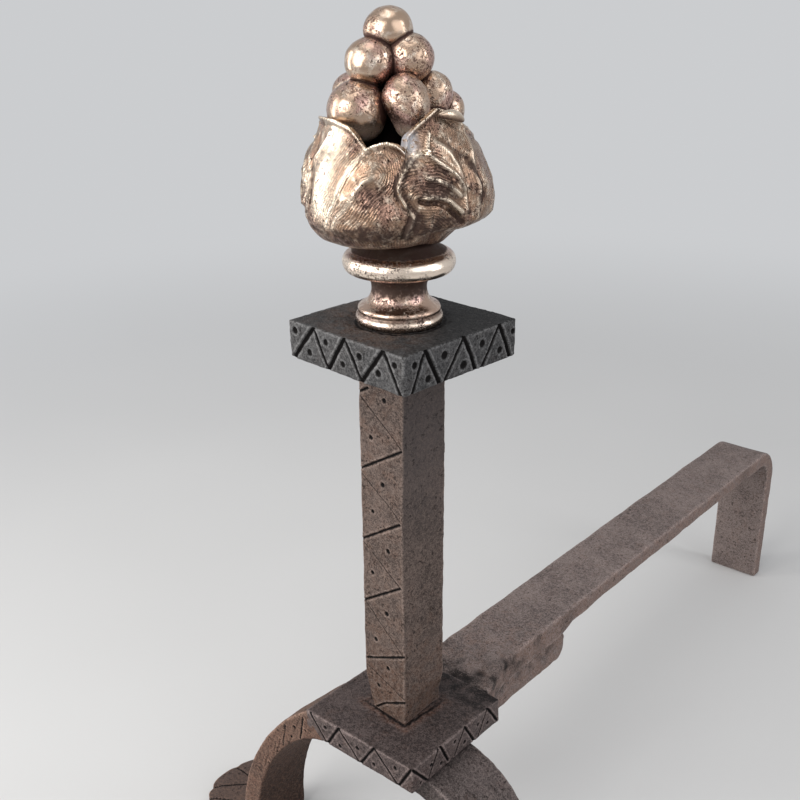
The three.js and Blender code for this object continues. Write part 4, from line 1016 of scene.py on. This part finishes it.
def build_leaf_cup():
    base_rows, side_rows = 8, 88
    piece = fresh(
        "leaf_cup_shell", bpy.ops.mesh.primitive_cylinder_add,
        vertices=420, radius=1, depth=1, end_fill_type="NOTHING")
    mode("EDIT")
    divide(piece, 2, base_rows + side_rows - 1)
    mode("OBJECT")
    co = points_of(piece)
    theta = np.degrees(np.arctan2(co[:, 0], -co[:, 1]))
    row = np.round((co[:, 2] + 0.5) * (base_rows + side_rows))
    co, masks = cup_skin(theta, row, base_rows, side_rows)
    store(piece, flow=chased_lines(theta, co[:, 2]), **masks)
    set_points(piece, co)
    wall = piece.modifiers.new("wall", "SOLIDIFY")
    wall.thickness = 2
    wall.offset = -1
    mode("EDIT")
    bpy.ops.mesh.select_all(action="SELECT")
    bpy.ops.mesh.remove_doubles(threshold=0.05)
    bpy.ops.mesh.normals_make_consistent(inside=False)
    mode("OBJECT")
    bpy.ops.object.modifier_apply(modifier="wall")
    co = points_of(piece)
    co[:, 2] = np.maximum(co[:, 2], CUP_BOTTOM)
    set_down(piece, in_finial(co), "leaf_cup", BRASS_LEAF, 50)


def build_folded_tip():
    """The right leaf's tip, folded over outwards into a narrow lip, painted bright on top and dark as shade
    below.
    """
    ball = bpy.ops.mesh.primitive_uv_sphere_add
    piece = fresh("folded_leaf_tip", ball, segments=40, ring_count=24, radius=1)
    x, y, z = (points_of(piece) * np.array([7.6, 1.7, 1.9])).T
    z = z - 0.035 * x**2 * 0.6
    # painted light on the top of the fold and painted shade underneath
    store(piece, hollow=np.clip(-z * 0.35, 0, 0.6), raised=unit(0.5 + z * 0.4), flow=0, drawn=0, residue=0)
    swing = math.radians(-13)
    angle = (x * math.cos(swing) - z * math.sin(swing)) / 27.6 + math.radians(48)
    height = 83.2 + x * math.sin(swing) + z * math.cos(swing)
    radius = 27.4 - y
    co = np.stack([radius * np.sin(angle), -radius * np.cos(angle), height], 1)
    set_down(piece, in_finial(co), "leaf_cup", BRASS_LEAF, 60)


# ---------- berries ----------
# each berry: sideways, towards the face, height, half width, half height and lean in degrees
BERRIES = [
    (-3.3, 0, 111.2, 9.45, 9, 0), (-10, 5, 100.6, 9.5, 9.2, 0), (4.85, 3, 102, 9, 8.95, 0),
    (-3.4, -9, 101, 9.2, 9, 0), (-15, 8, 83.2, 11.4, 11.8, 0), (2.9, 11.5, 84.9, 9.7, 12.5, 4),
    (13, -2, 88, 8, 9.2, -8), (18.6, -10, 80.8, 7.2, 8.6, -8), (-17.4, -6, 88.4, 7.9, 7.9, 0),
    (-2, -14.5, 86.6, 9.8, 9.8, 0), (-13, -15, 76, 8.4, 8.4, 0), (10, -17, 76, 8.4, 8.4, 0),
    (-19, 0, 73, 7.6, 7.6, 0), (14.5, 4, 76, 7.8, 7.8, 0)]
# where some are stained: sideways and up in shares of their size, and how far round it
STAINS = {
    0: (-0.7, 0.3, 0.5), 1: (0.7, 0.4, 0.45), 2: (0.1, 0.1, 1), 4: (0.25, 0.65, 0.75),
    5: (0.15, 0.15, 0.7), 6: (-0.1, 0.3, 0.9)}


def one_berry(number):
    """A lumpy berry, painted dark as shade where it meets its neighbours and low in the cup."""
    sideways, forward, height, size, tall, lean = BERRIES[number]
    berry = fresh("berry", bpy.ops.mesh.primitive_uv_sphere_add, segments=72, ring_count=40, radius=1)
    co = points_of(berry)
    lumps = grain(co * size, 6.5, 301 + number) * 0.35 + grain(co * size, 2.4, 331 + number) * 0.1
    co = turn_z(co, 47 * number) * (size + lumps)[:, None]
    across, up, reach = STAINS.get(number, (0, 0, 0.6))
    off = np.hypot(co[:, 0] / size - across, co[:, 2] / size - up)
    stain = bell(off, reach) * (co[:, 1] < 0.3 * size)
    under = ease(-co[:, 2] / size, 0.1, 0.75)
    # the top berry is flat below, and the near right one narrows downwards on its left
    co[:, 2] *= np.where((co[:, 2] < 0) & (number == 0), 0.72, 1) * tall / size
    if number == 5:
        narrow = ease(-co[:, 2], -7, 7)
        co[:, 0] = co[:, 0] * (1 - 0.26 * narrow) + 1.7 * narrow
    a = math.radians(-lean)
    co = co @ np.array([[math.cos(a), 0, math.sin(a)], [0, 1, 0], [-math.sin(a), 0, math.cos(a)]]).T
    co = co + np.array([sideways, -forward, height])
    # painted shade: dark low down in the cup and where the berries touch
    hollow = 1 - ease(co[:, 2], 62, 71)
    for other, (s, f, h, r, _, _) in enumerate(BERRIES):
        if other != number:
            off = np.linalg.norm(co - np.array([s, -f, h]), axis=1) - r
            hollow = np.maximum(hollow, 1 - ease(off, -0.2, 1.7))
    # the big berries' undersides are dull, and so don't mirror the dark bed
    store(berry, hollow=hollow, stain=stain, raised=-under if number in (4, 5, 6, 7) else 0)
    set_points(berry, co)
    return berry


def build_berries():
    made = [one_berry(number) for number in range(len(BERRIES))]
    core = fresh("berry_bed", bpy.ops.mesh.primitive_cylinder_add, vertices=64, radius=1, depth=1)
    mode("EDIT")
    divide(core, 2, 11)
    mode("OBJECT")
    co = points_of(core)
    z = 47.6 + (co[:, 2] + 0.5) * 58
    radius = np.interp(z, [47, 60, 70, 76, 98, 106], [22.5, 24.5, 15, 10, 6, 1])
    # the bed is painted near black, as shade deep among the berries
    store(core, hollow=3, stain=0, raised=0)
    set_points(core, np.stack([co[:, 0] * radius - 1.5, co[:, 1] * radius + 3 * ease(z, 70, 84), z], 1))
    for piece in made:
        piece.select_set(True)
    bpy.context.view_layer.objects.active = made[0]
    bpy.ops.object.join()
    cluster = bpy.context.object
    cluster.name = "berry_cluster_cast"
    set_down(cluster, in_finial(points_of(cluster)), "berry_cluster", BRASS_BERRY, 60)


# ---------- camera, light and floor ----------
def make_camera():
    heading, tilt, roll = (math.radians(a) for a in (40.01, 22.63, -0.22))
    ahead = Vector((-math.cos(tilt) * math.sin(heading), math.cos(tilt) * math.cos(heading), -math.sin(tilt)))
    right = ahead.cross(Vector((0, 0, 1))).normalized()
    above = right.cross(ahead)
    right, above = (
        math.cos(roll) * right + math.sin(roll) * above,
        -math.sin(roll) * right + math.cos(roll) * above,
    )
    bpy.ops.object.camera_add()
    camera = bpy.context.object
    camera.matrix_world = Matrix((right, above, -ahead)).transposed().to_4x4()
    camera.location = Vector((MIDDLE + np.array([274.585, -321.231, 328.097 + PLATE_TOP])) * 0.001)
    camera.data.sensor_width = 36
    camera.data.lens = 48.99
    camera.data.shift_x = -0.0128
    camera.data.shift_y = 0.0103
    camera.data.clip_start = 0.01
    bpy.context.scene.camera = camera


def soft_lamp(name, swing, rise, distance, width, height, power, colour):
    """A lamp aimed at the finial's foot from a turn to the right of the front and a rise above level."""
    aim = Vector((0, -0.17, 0.28))
    swing, rise = math.radians(swing), math.radians(rise)
    way = Vector((math.sin(swing) * math.cos(rise), -math.cos(swing) * math.cos(rise), math.sin(rise)))
    bpy.ops.object.light_add(type="AREA")
    lamp = bpy.context.object
    lamp.name = name
    lamp.location = aim + way * distance
    lamp.rotation_euler = (aim - (aim + way * distance)).to_track_quat("-Z", "Y").to_euler()
    lamp.data.shape = "RECTANGLE"
    lamp.data.size = width
    lamp.data.size_y = height
    lamp.data.energy = power
    lamp.data.color = colour


def make_studio():
    pale = (0.6, 0.61, 0.625)
    floor = fresh("pale_floor", bpy.ops.mesh.primitive_plane_add, size=60, location=(0, 0, 0))
    f = Finish("pale_floor")
    tone = f.mix(f.noise(400, 2, 0.5).ease(0.3, 0.7), (0.63, 0.625, 0.62), (0.66, 0.655, 0.65))
    f.dress(tone, 0.75, f.bump(f.noise(3), 0.00005), 0, 0.3)
    # far from the object the floor fades into the pale background
    far = f.node("ShaderNodeVectorMath", {"operation": "LENGTH"}, {0: f.place}, 1)
    glow = f.node("ShaderNodeEmission", {}, {"Color": pale, "Strength": 1})
    surface = Value(f, f.shader.outputs[0])
    both = f.node("ShaderNodeMixShader", {}, {0: f.seen() * far.ease(0.25, 1.3), 1: surface, 2: glow})
    f.feed(f.tree.nodes["Material Output"].inputs[0], both)
    floor.data.materials.append(f.material)
    world = bpy.data.worlds.new("pale_room")
    bpy.context.scene.world = world
    bpy.context.scene.view_settings.view_transform = "Standard"
    world.use_nodes = True
    w = Nodes(world.node_tree)
    light = w.tree.nodes["Background"]
    w.feed(light.inputs["Color"], (0.95, 0.97, 1))
    w.feed(light.inputs["Strength"], 0.4)
    plain = w.node("ShaderNodeBackground", {}, {"Color": pale, "Strength": 1})
    both = w.node("ShaderNodeMixShader", {}, {0: w.seen(), 1: Value(w, light.outputs[0]), 2: plain})
    w.feed(w.tree.nodes["World Output"].inputs[0], both)
    warm, cool = (1, 0.985, 0.96), (0.97, 0.98, 1)
    for lamp in (
        ("window_left", -12, 24, 1, 0.8, 0.8, 9.5, warm),
        ("window_far_left", -60, 10, 1, 0.27, 0.9, 3.7, warm),
        ("window_right", 120, 20, 1.2, 0.3, 1, 2.9, cool),
        ("soft_right", 92, 25, 1.5, 1.2, 1, 5.05, cool),
        ("soft_top", 0, 85, 1.4, 1, 1, 4.35, (1, 1, 1)),
    ):
        soft_lamp(*lamp)


def dress_stud():
    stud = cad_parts["finial_stud"]
    f = Finish("stud_steel")
    drawn = f.noise(0.6, 2, 0.5, 0, f.mapped(Scale=(1, 1, 0.1)))
    tone = f.mix(drawn.ease(0.3, 0.7), (0.3, 0.3, 0.31), (0.42, 0.42, 0.43))
    stud.data.materials.clear()
    stud.data.materials.append(f.dress(tone, 0.3 + drawn * 0.15, f.bump(drawn, 0.00003), 1))


make_camera()
make_studio()
build_base_plate()
build_post()
build_tenon()
build_cap()
build_left_leg()
build_right_leg()
build_log_bar()
build_tongue()
build_neck()
build_leaf_cup()
build_folded_tip()
build_berries()
dress_stud()
